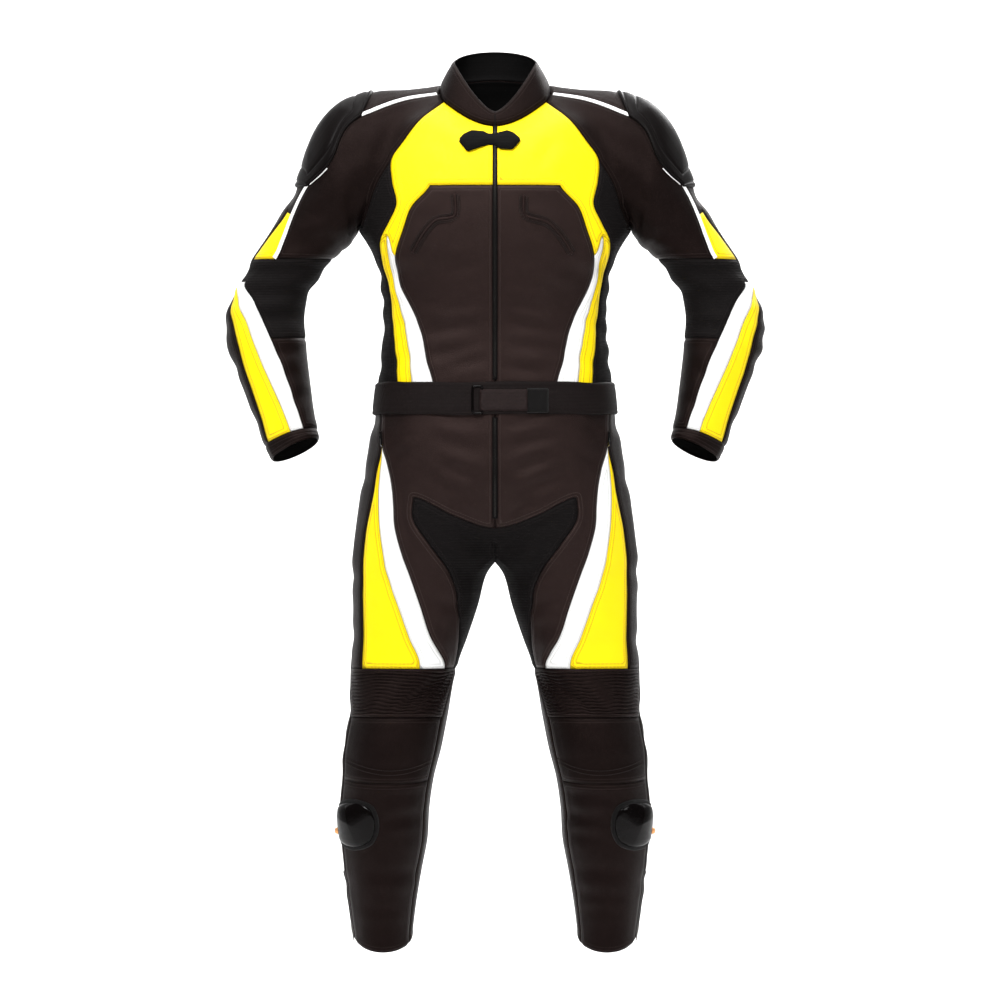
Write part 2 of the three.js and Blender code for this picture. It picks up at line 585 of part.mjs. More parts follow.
// A shell with a rounded outline and a domed top, laid on a grid
function shell(grid, size) {
  const lines = steps(-1, 1, 2 / size.steps);
  const places = lines.map((v) => lines.map((u) => {
    const round = (a, b) => a * Math.sqrt(1 - size.square * b * b / 2);
    const [x, y] = [round(u, v), round(v, u)];
    const spot = onGrid(grid, size.row + y * size.rows, size.column + x * size.columns);
    const height = size.rim + size.dome * (1 - u ** 4) * (1 - v ** 4);
    return { spot, height };
  }));
  const upper = places.map((line) => line.map(({ spot, height }) => raised(spot, height)));
  return slab(upper, places.map((line) => line.map(({ spot }) => raised(spot, -size.sink))));
}

// The place on the front of some faces, straight behind x and z
function onFront(faces, points, x, z) {
  let best = null;
  for (const corners of faces) {
    for (const [a, b, c] of splitFace(corners, points)) {
      const [p, q, r] = [points[a], points[b], points[c]];
      const area = (q.x - p.x) * (r.z - p.z) - (r.x - p.x) * (q.z - p.z);
      const s = ((x - p.x) * (r.z - p.z) - (r.x - p.x) * (z - p.z)) / area;
      const t = ((q.x - p.x) * (z - p.z) - (x - p.x) * (q.z - p.z)) / area;
      if (s < -1e-6 || t < -1e-6 || s + t > 1 + 1e-6) continue;
      const y = p.y + s * (q.y - p.y) + t * (r.y - p.y);
      if (best === null || y < best) best = y;
    }
  }
  return best;
}

// The pleated panel above the knee: each pleat is a ridge over a plain inside
function pleatedPanel(half) {
  const [top, bottom] = [half.legs[3], half.legs[4]];
  const rows = PLEATS * 2;
  const ridges = new Set();
  const grid = [];
  for (let r = 0; r <= rows; r++) {
    grid.push([]);
    for (let c = 1; c <= LEG_COLUMN.side; c++) {
      const [p, q] = [cloth.points[top[c]], cloth.points[bottom[c]]];
      const spot = p.clone().lerp(q, r / rows);
      const id = addPoint(spot.x, spot.y, spot.z);
      normals[id] ??= normals[top[c]].clone().lerp(normals[bottom[c]], r / rows).normalize();
      if (r % 2 && c > 1 && c < LEG_COLUMN.side) ridges.add(id);
      grid.at(-1).push(id);
    }
  }
  const faces = [];
  for (let r = 0; r < rows; r++) {
    for (let c = 0; c + 1 < grid[r].length; c++) {
      const ids = [grid[r][c], grid[r + 1][c], grid[r + 1][c + 1], grid[r][c + 1]];
      faces.push(half.mirrored ? ids.reverse() : ids);
    }
  }
  return panelSolid(faces, cloth.points, normals, LEATHER, ridges);
}

const suit = new THREE.Group();

function addMesh(name, geometry, finish) {
  const mesh = new THREE.Mesh(geometry, new THREE.MeshStandardMaterial(finish));
  mesh.name = name;
  suit.add(mesh);
  return mesh;
}

const FINISHES = [[/stretch|accordion/, STRETCH], [/yellow|chest/, YELLOW], [/white|piping/, WHITE]];
const finishOf = (name) => FINISHES.find(([pattern]) => pattern.test(name))?.[1] ?? BLACK;

// Jacket and trousers
const left = buildHalf(1, 'left');
const right = buildHalf(-1, 'right');
const halves = [{ half: left, sign: 1, side: 'left' }, { half: right, sign: -1, side: 'right' }];
buildCollar(halves);
const normals = vertexNormals();

// The waist edges under the belt are square to the wall
for (const { half } of halves) {
  for (const ring of [half.jacket[JACKET_HEM_ROW], half.hips[0]]) {
    ring.forEach((id) => normals[id].setZ(0).normalize());
  }
}

const panels = new Map();
for (const { panel, corners } of cloth.faces) {
  panels.set(panel, [...(panels.get(panel) ?? []), corners]);
}
for (const [name, faces] of panels) {
  const pleated = name.startsWith('knee_accordion');
  const half = name.endsWith('left') ? left : right;
  const solid = pleated ? pleatedPanel(half) : panelSolid(faces, cloth.points, normals, LEATHER);
  addMesh(name, solid, finishOf(name));
}

// A geometry as a solid for joining and cutting, and back
function solidOf(geometry) {
  const plain = geometry.clone();
  const extras = Object.keys(plain.attributes).filter((key) => key !== 'position');
  extras.forEach((key) => plain.deleteAttribute(key));
  const mesh = mergeVertices(plain, 1e-3);
  const vertProperties = mesh.attributes.position.array;
  const triVerts = new Uint32Array(mesh.index.array);
  return new wasm.Manifold(new wasm.Mesh({ numProp: 3, vertProperties, triVerts }));
}

function geometryOf(solid) {
  const mesh = solid.getMesh();
  const geometry = new THREE.BufferGeometry();
  geometry.setAttribute('position', new THREE.BufferAttribute(new Float32Array(mesh.vertProperties), 3));
  geometry.setIndex(new THREE.BufferAttribute(new Uint32Array(mesh.triVerts), 1));
  return geometry;
}

// Cuts what lies on the cloth to the cloth's own form, just clear of it
function seated(geometry, names) {
  const out = cloth.points.map((p, id) => p.clone().addScaledVector(normals[id] ?? UP, SEATED_GAP));
  const faces = names.flatMap((name) => panels.get(name));
  const parts = solidOf(geometry).subtract(solidOf(panelSolid(faces, out, normals, CUT_DEPTH))).decompose();
  return geometryOf(parts.reduce((most, part) => (part.volume() > most.volume() ? part : most)).simplify(0.05));
}

// Belt, strap and loop
const beltRing = ([z, half], out) => Array.from({ length: BELT.columns }, (_, i) => {
  const turn = i / BELT.columns * 360;
  const row = { half: half + out, front: BELT.front + out, rear: BELT.rear + out };
  const [x, y] = onRing(row, turn <= 180 ? turn : 360 - turn);
  return new THREE.Vector3(turn <= 180 ? x : -x, y, z);
});

function beltSolid() {
  const walls = [BELT.clear, BELT.clear + BELT.thick].map((out) => BELT.rings.map((ring) => beltRing(ring, out)));
  const loop = [...walls[1], ...walls[0].reverse()];
  const position = [];
  loop.forEach((ring, i) => {
    const next = loop[(i + 1) % loop.length];
    ring.forEach((a, j) => {
      const k = (j + 1) % ring.length;
      [a, next[j], next[k], a, next[k], ring[k]].forEach((p) => position.push(p.x, p.y, p.z));
    });
  });
  const geometry = new THREE.BufferGeometry();
  geometry.setAttribute('position', new THREE.Float32BufferAttribute(position, 3));
  return outward(geometry);
}

// Depth of the belt's outer face at its front, between two of its corners
function beltFront(x, z) {
  const [[z0, h0], [z1, h1]] = z > BELT.rings[1][0] ? BELT.rings : BELT.rings.slice(1);
  const ring = beltRing([z, mix(h0, h1, (z - z0) / (z1 - z0))], BELT.clear + BELT.thick);
  const corners = [...ring, ring[0]];
  for (let i = 0; i + 1 < corners.length; i++) {
    const [a, b] = [corners[i], corners[i + 1]];
    if (a.y < 0 && b.y < 0 && a.x <= x && x <= b.x) return mix(a.y, b.y, (x - a.x) / (b.x - a.x));
  }
  return 0;
}

const loopRest = Math.min(...[-0.5, 0, 0.5].map((t) => beltFront(LOOP.x + t * LOOP.width, BELT.rings[1][0])));

function strapSolid() {
  const barEnd = LOOP.x + LOOP.width / 2 + 1.5;
  const stops = [STRAP.from, barEnd, ...steps(barEnd + 8, STRAP.to, STRAP.step)];
  const places = stops.map((x) => [STRAP.top, BELT.rings[1][0], STRAP.bottom].map((z) => {
    const overBar = loopRest - LOOP.lift - LOOP.thick - SEAM_GAP;
    return new THREE.Vector3(x, x > barEnd ? beltFront(x, z) - STRAP.lift : overBar, z);
  }));
  return slab(places.map((line) => line.map((p) => p.clone().setY(p.y - STRAP.thick))), places);
}

function loopSolid() {
  const frame = (width, height) => {
    const [w, h] = [width / 2, height / 2];
    return [[-w, -h], [w, -h], [w, h], [-w, h]].map(([x, y]) => new THREE.Vector2(x, y));
  };
  const shape = new THREE.Shape(frame(LOOP.width, LOOP.height));
  shape.holes.push(new THREE.Path(frame(LOOP.width - 2 * LOOP.bar, LOOP.height - 2 * LOOP.bar).reverse()));
  const geometry = new THREE.ExtrudeGeometry(shape, { depth: LOOP.thick, bevelEnabled: false });
  geometry.rotateX(Math.PI / 2);
  return geometry;
}

addMesh('waist_belt', beltSolid(), STRETCH);
addMesh('belt_strap', strapSolid(), STRETCH);
const loop = addMesh('belt_loop', loopSolid(), PLASTIC);
loop.position.set(LOOP.x, loopRest - LOOP.lift, LOOP.z);

// Zips on the front
const onCentre = (rings) => (row, distance) =>
  beside(distance < 0 ? right[rings] : left[rings], row, 0, Math.abs(distance));
for (const [name, size, rings, under] of [['front_zip', FRONT_ZIP, 'jacket', 'front_body'],
  ['fly_zip', FLY_ZIP, 'hips', 'thigh_front']]) {
  const tape = strip(steps(size.from, size.to, size.step), size, onCentre(rings));
  addMesh(name, seated(tape, [`${under}_left`, `${under}_right`]), PLASTIC);
}

// Tab over the zip
function tabSolid() {
  const chest = [...panels.get('chest_left'), ...panels.get('chest_right')];
  const line = [...TAB.half.slice(1).reverse().map((stop) => ({ ...stop, x: -stop.x })), ...TAB.half];
  const places = line.map(({ x, height, lift }) => [-1, 0, 1].map((share) => {
    const z = TAB.z + share * height;
    return new THREE.Vector3(x, onFront(chest, cloth.points, x, z) - lift, z);
  }));
  return slab(places.map((row) => row.map((p) => p.clone().setY(p.y - TAB.thick))), places);
}
addMesh('collar_tab', seated(tabSolid(), ['chest_left', 'chest_right']), BLACK);

// Hard shells and piping
for (const { half, side } of halves) {
  const arm = [`sleeve_front_${side}`, `sleeve_back_${side}`];
  const shin = [`shin_${side}`, `leg_back_${side}`];
  addMesh(`shoulder_cup_${side}`, seated(shell(half.sleeve, CUP), arm), PLASTIC);
  addMesh(`knee_slider_${side}`, seated(shell(half.legs, SLIDER), shin), PLASTIC);
  const along = (row, distance) => beside(half.sleeve, row, SLEEVE_COLUMN.piping, distance);
  const cord = strip(steps(0.1, SLEEVE_ROW.elbow, 0.5), PIPING, along);
  addMesh(`piping_${side}`, seated(cord, [...arm, `upper_arm_yellow_${side}`]), WHITE);
}

// Ankle zips with their sliders and pull tabs
function block(sizes, centre, frame) {
  const geometry = new THREE.BoxGeometry(...sizes);
  geometry.translate(...centre);
  return geometry.applyMatrix4(frame);
}

for (const { half, sign, side } of halves) {
  const along = (row, distance) => beside(half.legs, row, ANKLE_ZIP.column, distance);
  const tape = strip(steps(ANKLE_ZIP.from, ANKLE_ZIP.to, ANKLE_ZIP.step), ANKLE_ZIP, along);
  // The slider's frame: x sideways, y up along the zip, z away from the leg
  const here = onGrid(half.legs, HEM_SLIDER.row, ANKLE_ZIP.column);
  const above = onGrid(half.legs, HEM_SLIDER.row - 0.5, ANKLE_ZIP.column);
  const up = above.point.clone().sub(here.point).setY(0).normalize();
  const away = new THREE.Vector3(0, sign, 0).cross(up).normalize();
  if (away.x * sign < 0) away.negate();
  const across = up.clone().cross(away);
  const frame = new THREE.Matrix4().makeBasis(across, up, away);
  frame.setPosition(raised(here, ANKLE_ZIP.lift + ANKLE_ZIP.rise));
  const { width, length, height, sink, overlap } = HEM_SLIDER;
  const body = block([width, length, height], [0, length / 2 - overlap, height / 2 - sink], frame);
  let zip = solidOf(tape).add(solidOf(body));
  for (const end of [-1, 1]) {
    const sizes = [LUG.width, LUG.length + 2 * overlap, height - LUG.lower];
    const middle = [end * (LUG.gap + LUG.width / 2), -LUG.length / 2, height / 2 - LUG.rise];
    zip = zip.add(solidOf(block(sizes, middle, frame)));
  }
  addMesh(`ankle_zip_${side}`, geometryOf(zip), METAL);

  const shape = new THREE.Shape();
  shape.moveTo(-PULL.neck, PULL.top);
  shape.lineTo(-PULL.neck, PULL.waist);
  shape.lineTo(-PULL.width / 2, PULL.shoulder);
  shape.absarc(0, -PULL.length + PULL.width / 2, PULL.width / 2, Math.PI, 2 * Math.PI, false);
  shape.lineTo(PULL.width / 2, PULL.shoulder);
  shape.lineTo(PULL.neck, PULL.waist);
  shape.lineTo(PULL.neck, PULL.top);
  const hole = new THREE.Path();
  hole.absarc(0, -PULL.length + PULL.width / 2, PULL.hole / 2, 0, 2 * Math.PI, true);
  shape.holes.push(hole);
  const plate = new THREE.ExtrudeGeometry(shape, { depth: PULL.thick, bevelEnabled: false, curveSegments: 8 });
  plate.translate(0, 0, -PULL.thick / 2);
  const hinge = new THREE.Vector3(0, PULL.pivot, PULL.away).applyMatrix4(frame);
  const pull = addMesh(`ankle_pull_${side}`, plate, METAL);
  pull.quaternion.setFromRotationMatrix(new THREE.Matrix4().makeBasis(across, up, away));
  pull.position.copy(hinge);
}

export default suit;
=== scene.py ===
"""A two-piece leather race suit, worn and hollow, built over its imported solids.

Lengths in the tables are millimetres, +Z up, the front faces -Y and +X is the wearer's left.
The cloth is four grids of rings: jacket, sleeve, trousers and collar. A smooth surface runs through
the rings, seams cut it into panels, and each panel is a thin shell with creases and stitched edges.
"""

import math

import bpy
import numpy as np
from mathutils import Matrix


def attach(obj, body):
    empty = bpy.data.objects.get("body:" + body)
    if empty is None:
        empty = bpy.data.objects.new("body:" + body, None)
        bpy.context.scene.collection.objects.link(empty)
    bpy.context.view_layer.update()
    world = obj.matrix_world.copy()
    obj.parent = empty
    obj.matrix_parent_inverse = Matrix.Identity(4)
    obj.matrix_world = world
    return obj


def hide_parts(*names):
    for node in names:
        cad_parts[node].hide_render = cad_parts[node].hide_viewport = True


bl_info = {
    "name": "Leather race suit",
    "version": (1, 0, 0),
    "blender": (4, 5, 0),
    "location": "View3D > Sidebar > Race suit",
    "description": "Builds a worn two-piece leather race suit over its packed solids",
    "category": "Add Mesh",
}

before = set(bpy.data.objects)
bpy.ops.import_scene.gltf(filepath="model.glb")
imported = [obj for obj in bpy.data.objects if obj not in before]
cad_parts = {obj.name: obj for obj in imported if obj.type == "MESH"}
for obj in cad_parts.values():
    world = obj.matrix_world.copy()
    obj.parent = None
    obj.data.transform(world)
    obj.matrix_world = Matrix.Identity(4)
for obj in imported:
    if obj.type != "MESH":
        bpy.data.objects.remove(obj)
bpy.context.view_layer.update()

MM = 0.001
N = 8  # fine steps in each cell of a grid
SIDES = (("left", 1), ("right", -1))
ROUNDNESS = 2.3
NONE = ""
FAR = 90.0  # a distance from any seam at which no thread shows


def level(z, body, band, edge, half, front, rear):
    """A jacket ring whose seams all lie at one height."""
    return dict(mid=z, body=(body, z), band=(band, z), edge=(edge, z), side=z, spine=z, half=half,
                front=front, rear=rear)


# Jacket rings from the neck to the belt: places of the seams (x, z), half width and depths
JACKET = [
    dict(mid=-42, edge=(82, -2), back=(64, 30), spine=36, half=92, front=68, rear=66),
    dict(mid=-60, edge=(120, -32), back=(104, -6), spine=2, half=168, front=93, rear=88),
    dict(mid=-83, edge=(147, -67), back=(130, -42), spine=-34, half=192, front=108, rear=102),
    dict(mid=-107, edge=(166, -96), back=(150, -78), spine=-72, half=206, front=117, rear=111),
    dict(mid=-138, body=(104, -138), band=(147, -134), edge=(165, -131), arm=(189, -134),
         back=(168, -118), spine=-118, half=216, front=124, rear=117),
    dict(mid=-172, body=(134, -173), band=(150, -170), edge=(158, -168), arm=(202, -171),
         back=(184, -155), spine=-160, half=222, front=127, rear=119),
    dict(mid=-206, body=(147, -208), band=(162, -198), edge=(170, -196), arm=(209, -189),
         back=(198, -183), spine=-198, half=223, front=127, rear=117),
    dict(mid=-240, body=(160, -251), band=(173, -219), edge=(184, -226), arm=(212, -203),
         back=(206, -204), spine=-236, half=220, front=125, rear=112),
    dict(mid=-272, body=(157, -278), band=(169, -262), edge=(180, -264), side=-252, spine=-270,
         half=190, front=121, rear=105),
    level(-302, 150, 161, 170, 182, 117, 98), level(-340, 131, 150, 166, 179, 112, 93),
    level(-378, 117, 142, 162, 180, 110, 91), level(-416, 110, 137, 159, 183, 112, 94),
    level(-451, 100, 134, 157, 187, 114, 98), level(-477, 98, 134, 158, 189, 114, 100),
]
BODY_TOP, ARMPIT = 4, 7
CHEST_SHARES = np.array([0, 0.2, 0.4, 0.6, 0.87, 1])
NECK_DIP = 1.8
BACK_ANGLE = 118
NECK_SIDE = np.array([[88.0, -12, 12], [86, 14, 24]])

# Sleeve rings: outer and inner end (x, z), half depth, place ahead, seam angles, tilt
SLEEVE = [
    ((141, 19), (220, -210), 74, 2, 32, 8, -16, 0), ((192, 16), (223, -216), 75, 0, 44, 12, -18, 0),
    ((238, -2), (227, -222), 76, 0, 47, 14, -20, 0), ((272, -34), (231, -229), 76, 0, 61, 20, -21, 0),
    ((294, -75), (236, -234), 74, 2, 57, 18, -20, 0), ((314, -125), (242, -238), 70, 4, 44, 17, -8, 0),
    ((339, -174), (248, -243), 66, 6, 46, 38, 29, 0), ((365, -216), (254, -248), 63, 8, 57, 38, 20, 0),
    ((389, -254), (261, -254), 62, 10, 63, 38, 13, 0), ((410, -290), (283, -286), 61, 12, 30, 3, -22, 0),
    ((427, -326), (302, -318), 61, 11, 70, 40, 18, 0), ((433, -362), (306, -350), 60, 6, 88, 63, 37, 0.05),
    ((429, -395), (304, -382), 58, -2, 97, 70, 43, 0.1),
    ((415, -432), (300, -419), 55, -12, 104, 73, 38, 0.15),
    ((400, -472), (295, -459), 51, -23, 110, 79, 37, 0.2),
    ((384, -512), (290, -496), 47, -34, 115, 85, 34, 0.25),
    ((368, -554), (284, -528), 43, -45, 119, 89, 28, 0.25),
    ((357, -576), (282, -544), 42, -50, 119, 89, 28, 0.25),
]

# Rings of the hips: stretch, white, band and edge seams (x, z), side and spine heights, half width,
# depths and how far the two legs are drawn apart
HIPS = [
    dict(mid=-477.05, stretch=(92, -477.05), white=(182, -477.05), side=-477.05, spine=-477.05,
         half=189, front=114, rear=100),
    dict(mid=-504, stretch=(96, -504), white=(183, -504), side=-504, spine=-504,
         half=192, front=114, rear=103),
    dict(mid=-532, stretch=(104, -530), white=(183, -530), side=-530, spine=-532,
         half=198, front=117, rear=112),
    dict(mid=-562, stretch=(112, -557), white=(181, -555), side=-557, spine=-562,
         half=203, front=118, rear=120),
    dict(mid=-604, stretch=(120, -588), white=(169, -600), band=(185, -598), edge=(190, -597),
         side=-596, spine=-600, half=209, front=118, rear=125),
    dict(mid=-646, stretch=(127, -612), white=(165, -625), band=(187, -625), edge=(194, -625),
         side=-620, spine=-636, half=214, front=115, rear=126, split=0.08),
    dict(mid=-686, stretch=(130, -636), white=(163, -650), band=(187, -650), edge=(199, -650),
         side=-648, spine=-668, half=219, front=112, rear=124, split=0.2),
    dict(mid=-708, stretch=(131, -670), white=(161, -683), band=(185, -688), edge=(206, -684),
         side=-684, spine=-698, half=224, front=110, rear=120, split=0.35),
    dict(mid=-726, stretch=(104, -712), white=(149, -728), band=(179, -730), edge=(211, -728),
         side=-730, spine=-724, half=229, front=106, rear=114, split=0.5),
]
CROTCH = np.array([[0.0, 28, -738], [0, -14, -738]])
SPLIT_EASE = 60

# Leg rings: height, outer and inner end, half depth, place ahead, sag of the front, then the seams
# across the front where the stripes run
LEG = [
    (-760, 229, 14, 99, 4, 0, (70, 137, 173, 212, 150)), (-808, 228, 27, 95, 2, 0, (58, 120, 156, 212, 156)),
    (-859, 228, 44, 90, -1, 0, (57, 103, 138, 211, 163)),
    (-910, 231, 62, 85, -4, 0, (66, 80, 120, 213, 172)),
    (-987, 235, 76, 80, -9, 0, None), (-1037, 244, 86, 80, -14, 4, None),
    (-1084, 246, 98, 75, -12, 10, None),
    (-1133, 250, 105, 72, -4, 4, None), (-1182, 248, 108, 70, 6, 0, None),
    (-1230, 243, 117, 66, 16, 0, None),
    (-1277, 236, 125, 60, 24, 3, None), (-1314, 231, 130, 54, 30, 10, None),
    (-1340, 226, 133, 52, 33, 26, None),
]
LOWER_ANGLES = [168, 152, 132, 112, 92, 72, 48, 18]
BACK_ANGLES = [5, -20, -45, -70, -100, -134, -161]
CROTCH_ROW, ACCORDION_ROW, KNEE_ROW, SHIN_ROW = 8, 12, 13, 15

COLLAR_WIDTH, COLLAR_DEPTH = 66, 62
COLLAR_FRONT, COLLAR_SIDE, COLLAR_BACK, COLLAR_CURVE = -18, 62, 82, 1.5
COLLAR_BULGE, BULGE_AT = 0.04, 0.55


# Smooth surfaces


def on_ring(half, front, rear, angle):
    """A rounded ring: x = half |sin a|^(2/n), y = depth |cos a|^(2/n), with front depth below 90 degrees."""
    turn = np.radians(angle)
    depth = np.where(np.asarray(angle) < 90, -front, rear)
    power = 2 / ROUNDNESS
    return half * np.abs(np.sin(turn)) ** power, depth * np.abs(np.cos(turn)) ** power


def ring_angle(half, x):
    """The angle at which a rounded ring reaches x: asin((x / half)^(n/2))."""
    return np.degrees(np.arcsin(np.minimum(1, np.asarray(x, float) / half) ** (ROUNDNESS / 2)))


def mix(a, b, t):
    return a + (b - a) * t


def jacket_ring(row):
    """Half a jacket ring, 13 points from the front centre over the side to the back centre."""
    half, mid = row["half"], row["mid"]
    ex, ez = row["edge"]
    if "body" in row:
        bx, bz = row["body"]
        share = np.array([0, 1 / 3, 2 / 3])
        x = np.concatenate([bx * share, [bx, row["band"][0], ex]])
        z = np.concatenate([mix(mid, bz, share**2), [bz, row["band"][1], ez]])
    else:
        x, z = ex * CHEST_SHARES, mix(mid, ez, CHEST_SHARES**NECK_DIP)
    angle = ring_angle(half, x)
    if "side" in row:
        t, s = np.array([0.25, 0.5, 0.75, 1]), np.array([1 / 3, 2 / 3, 1])
        angle = np.concatenate([angle, mix(angle[5], BACK_ANGLE, t), mix(BACK_ANGLE, 180, s)])
        z = np.concatenate([z, mix(ez, row["side"], t), mix(row["side"], row["spine"], s)])
    else:
        ax, az = row.get("arm", row["edge"])
        kx, kz = row["back"]
        start, end = ring_angle(half, ax), 180 - ring_angle(half, kx)
        t, s = np.array([0, 1 / 3, 2 / 3, 1]), np.array([2 / 3, 1 / 3, 0])
        angle = np.concatenate([angle, mix(start, end, t), 180 - ring_angle(half, kx * s)])
        z = np.concatenate([z, mix(az, kz, t), mix(row["spine"], kz, s**NECK_DIP)])
    x, y = on_ring(half, row["front"], row["rear"], angle)
    return np.stack([x, y, z], 1)


def hip_ring(row):
    """Half a ring of the hips, 13 points; split draws it towards the ring of a leg of its own."""
    half, mid = row["half"], row["mid"]
    (sx, sz), (wx, wz) = row["stretch"], row["white"]
    band, edge = row.get("band", row["white"]), row.get("edge", row["white"])
    x = np.array([0, sx / 2, sx, (sx + wx) / 2, wx, band[0], edge[0]])
    z = np.array([mid, mix(mid, sz, 0.4), sz, (sz + wz) / 2, wz, band[1], edge[1]])
    angle = ring_angle(half, x)
    t = np.arange(1, 7) / 6
    lower = np.where(t < 0.4, mix(edge[1], row["side"], t * 3),
                     mix(row["side"], row["spine"], (t * 6 - 2) / 4))
    angle = np.concatenate([angle, mix(angle[6], 180, t)])
    z = np.concatenate([z, lower])
    x, y = on_ring(half, row["front"], row["rear"], angle)
    leg = half / 2
    share = np.sqrt(np.maximum(0, 1 - ((x - leg) / leg) ** 2))
    depth = np.where(y < 0, -row["front"], row["rear"]) * share * np.minimum(1, np.abs(y) / SPLIT_EASE)
    return np.stack([x, mix(y, depth, row.get("split", 0)), z], 1)


def leg_ring(row):
    """A leg's ring, 15 points: an ellipse from its inner front round the outside, its front sagging."""
    z, outer, inner, depth, ahead, sag, seams = row
    first = np.array(LOWER_ANGLES, float)
    if seams:
        at = np.degrees(np.arccos(1 - 2 * (outer - np.array(seams[:4], float)) / (outer - inner)))
        first = np.array([seams[4], (seams[4] + at[0]) / 2, at[0], (at[0] + at[1]) / 2, *at[1:],
                          BACK_ANGLES[0]])
    angle = np.concatenate([first, BACK_ANGLES[1:], [(first[0] - 360 + BACK_ANGLES[-1]) / 2]])
    turn = np.radians(angle)
    x = (outer + inner) / 2 + (outer - inner) / 2 * np.cos(turn)
    return np.stack([x, ahead - depth * np.sin(turn), z - sag * np.maximum(0, np.sin(turn))], 1)


def sleeve_ring(row):
    """A sleeve's ring, 20 points: an ellipse between its outer and inner end, from the middle seam."""
    (ox, oz), (ix, iz), depth, ahead, piping, middle, far, tilt = row
    turn = np.radians(np.concatenate([[middle], mix(piping, far + 360, np.arange(19) / 18)]))
    reach, y = (1 - np.cos(turn)) / 2, -depth * np.sin(turn)
    return np.stack([mix(ox, ix, reach), ahead + y, mix(oz, iz, reach) - tilt * y], 1)


def through(points, steps=N, before=None, after=None):
    """Smooth curves through points along the first axis, as cubic pieces whose slope at each point is
    the mean of the two chords beside it, weighted by the root of their lengths."""
    before = 2 * points[0] - points[1] if before is None else before
    after = 2 * points[-1] - points[-2] if after is None else after
    p = np.concatenate([before[None], points, after[None]])
    chord = np.diff(p, axis=0)
    h = np.sqrt(np.maximum(np.linalg.norm(chord, axis=-1, keepdims=True), 1e-6))
    d = chord / h
    slope = (h[1:] * d[:-1] + h[:-1] * d[1:]) / (h[1:] + h[:-1])
    t = (np.arange(steps) / steps).reshape((1, steps) + (1,) * (points.ndim - 1))
    a, b, sa, sb, w = (v[:, None] for v in (points[:-1], points[1:], slope[:-1], slope[1:], h[1:-1]))
    curve = ((2 * t**3 - 3 * t**2 + 1) * a + (t**3 - 2 * t**2 + t) * w * sa
             + (3 * t**2 - 2 * t**3) * b + (t**3 - t**2) * w * sb)
    return np.concatenate([curve.reshape((-1,) + points.shape[1:]), points[-1:]])


MIRROR = np.array([-1.0, 1, 1])


def half_ring(points, steps=N):
    """A smooth half ring whose two ends meet their own mirror image without a kink."""
    return through(points, steps, points[1] * MIRROR, points[-2] * MIRROR)


def closed_ring(points, steps=N):
    return through(np.concatenate([points, points[:1]]), steps, points[-1], points[1])[:-1]


def jacket_surface():
    """The left half of the jacket as rows of points, and the smooth neck seam above it."""
    rings = [jacket_ring(row) for row in JACKET]
    neck = half_ring(np.concatenate([rings[0][:6], NECK_SIDE, rings[0][9:]]))
    rows = []
    for r, ring in enumerate(rings):
        if r < BODY_TOP:
            curve = half_ring(np.delete(ring, 6, 0))
            doubled = np.repeat(curve[5 * N : 5 * N + 1], N, 0)
            curve = np.concatenate([curve[: 5 * N], doubled, curve[5 * N :]])
        else:
            curve = half_ring(ring)
        rows.append(curve)
    rows[0][: 5 * N + 1] = neck[: 5 * N + 1]
    rows[0][9 * N :] = neck[8 * N :]
    surface = through(np.stack(rows))
    surface[: 3 * N + 1, 5 * N + 1 : 6 * N + 1] = surface[: 3 * N + 1, 5 * N : 5 * N + 1]
    return surface, neck


def sleeve_surface(jacket, neck):
    """The left sleeve: its first ring is the armhole, the neck seam between its two corners included."""
    armhole = np.concatenate([
        neck[6 * N + 1 : 7 * N + 1][::-1], neck[5 * N + 1 : 6 * N + 1][::-1],
        jacket[: 7 * N, 6 * N], jacket[7 * N, 6 * N : 9 * N], jacket[1 : 7 * N + 1, 9 * N][::-1],
        neck[7 * N + 1 : 8 * N + 1][::-1],
    ])
    rings = [armhole] + [closed_ring(sleeve_ring(row)) for row in SLEEVE]
    return through(np.stack(rings))


def trouser_surface():
    """The left half of the hips and the left leg as one grid of 15 columns, closed below the fork."""
    rings = [hip_ring(row) for row in HIPS]
    fork = closed_ring(np.concatenate([rings[-1], CROTCH]))
    rows = [np.concatenate([half_ring(ring), np.zeros((3 * N - 1, 3))]) for ring in rings]
    rows[-1][12 * N :] = fork[12 * N :]
    rows += [closed_ring(leg_ring(row)) for row in LEG]
    rows = np.stack(rows)
    surface = through(rows)
    surface[CROTCH_ROW * N :, 12 * N + 1 :] = through(rows[CROTCH_ROW:, 12 * N + 1 :])
    return surface


def collar_surface(neck):
    """The left half of the collar: each place goes from the neck seam to an oval whose top edge is low
    in front and high at the back, with a slight bulge between."""
    share = np.linspace(1, 0, 2 * N + 1)[:, None]
    turn = np.arctan2(np.abs(neck[:, 0]), -neck[:, 1])[None]
    rise = np.where(turn < math.pi / 2,
                    mix(COLLAR_FRONT, COLLAR_SIDE, np.sin(np.minimum(turn, math.pi / 2)) ** COLLAR_CURVE),
                    mix(COLLAR_SIDE, COLLAR_BACK, np.sin(np.maximum(turn - math.pi / 2, 0))))
    off = np.where(share > BULGE_AT, (share - BULGE_AT) / (1 - BULGE_AT), (BULGE_AT - share) / BULGE_AT)
    out = 1 + COLLAR_BULGE * (1 - off**2)
    x = mix(neck[None, :, 0], COLLAR_WIDTH * np.sin(turn), share) * out
    y = mix(neck[None, :, 1], -COLLAR_DEPTH * np.cos(turn), share) * out
    return np.stack([x, y, mix(neck[None, :, 2], rise, share)], -1)


# Panels


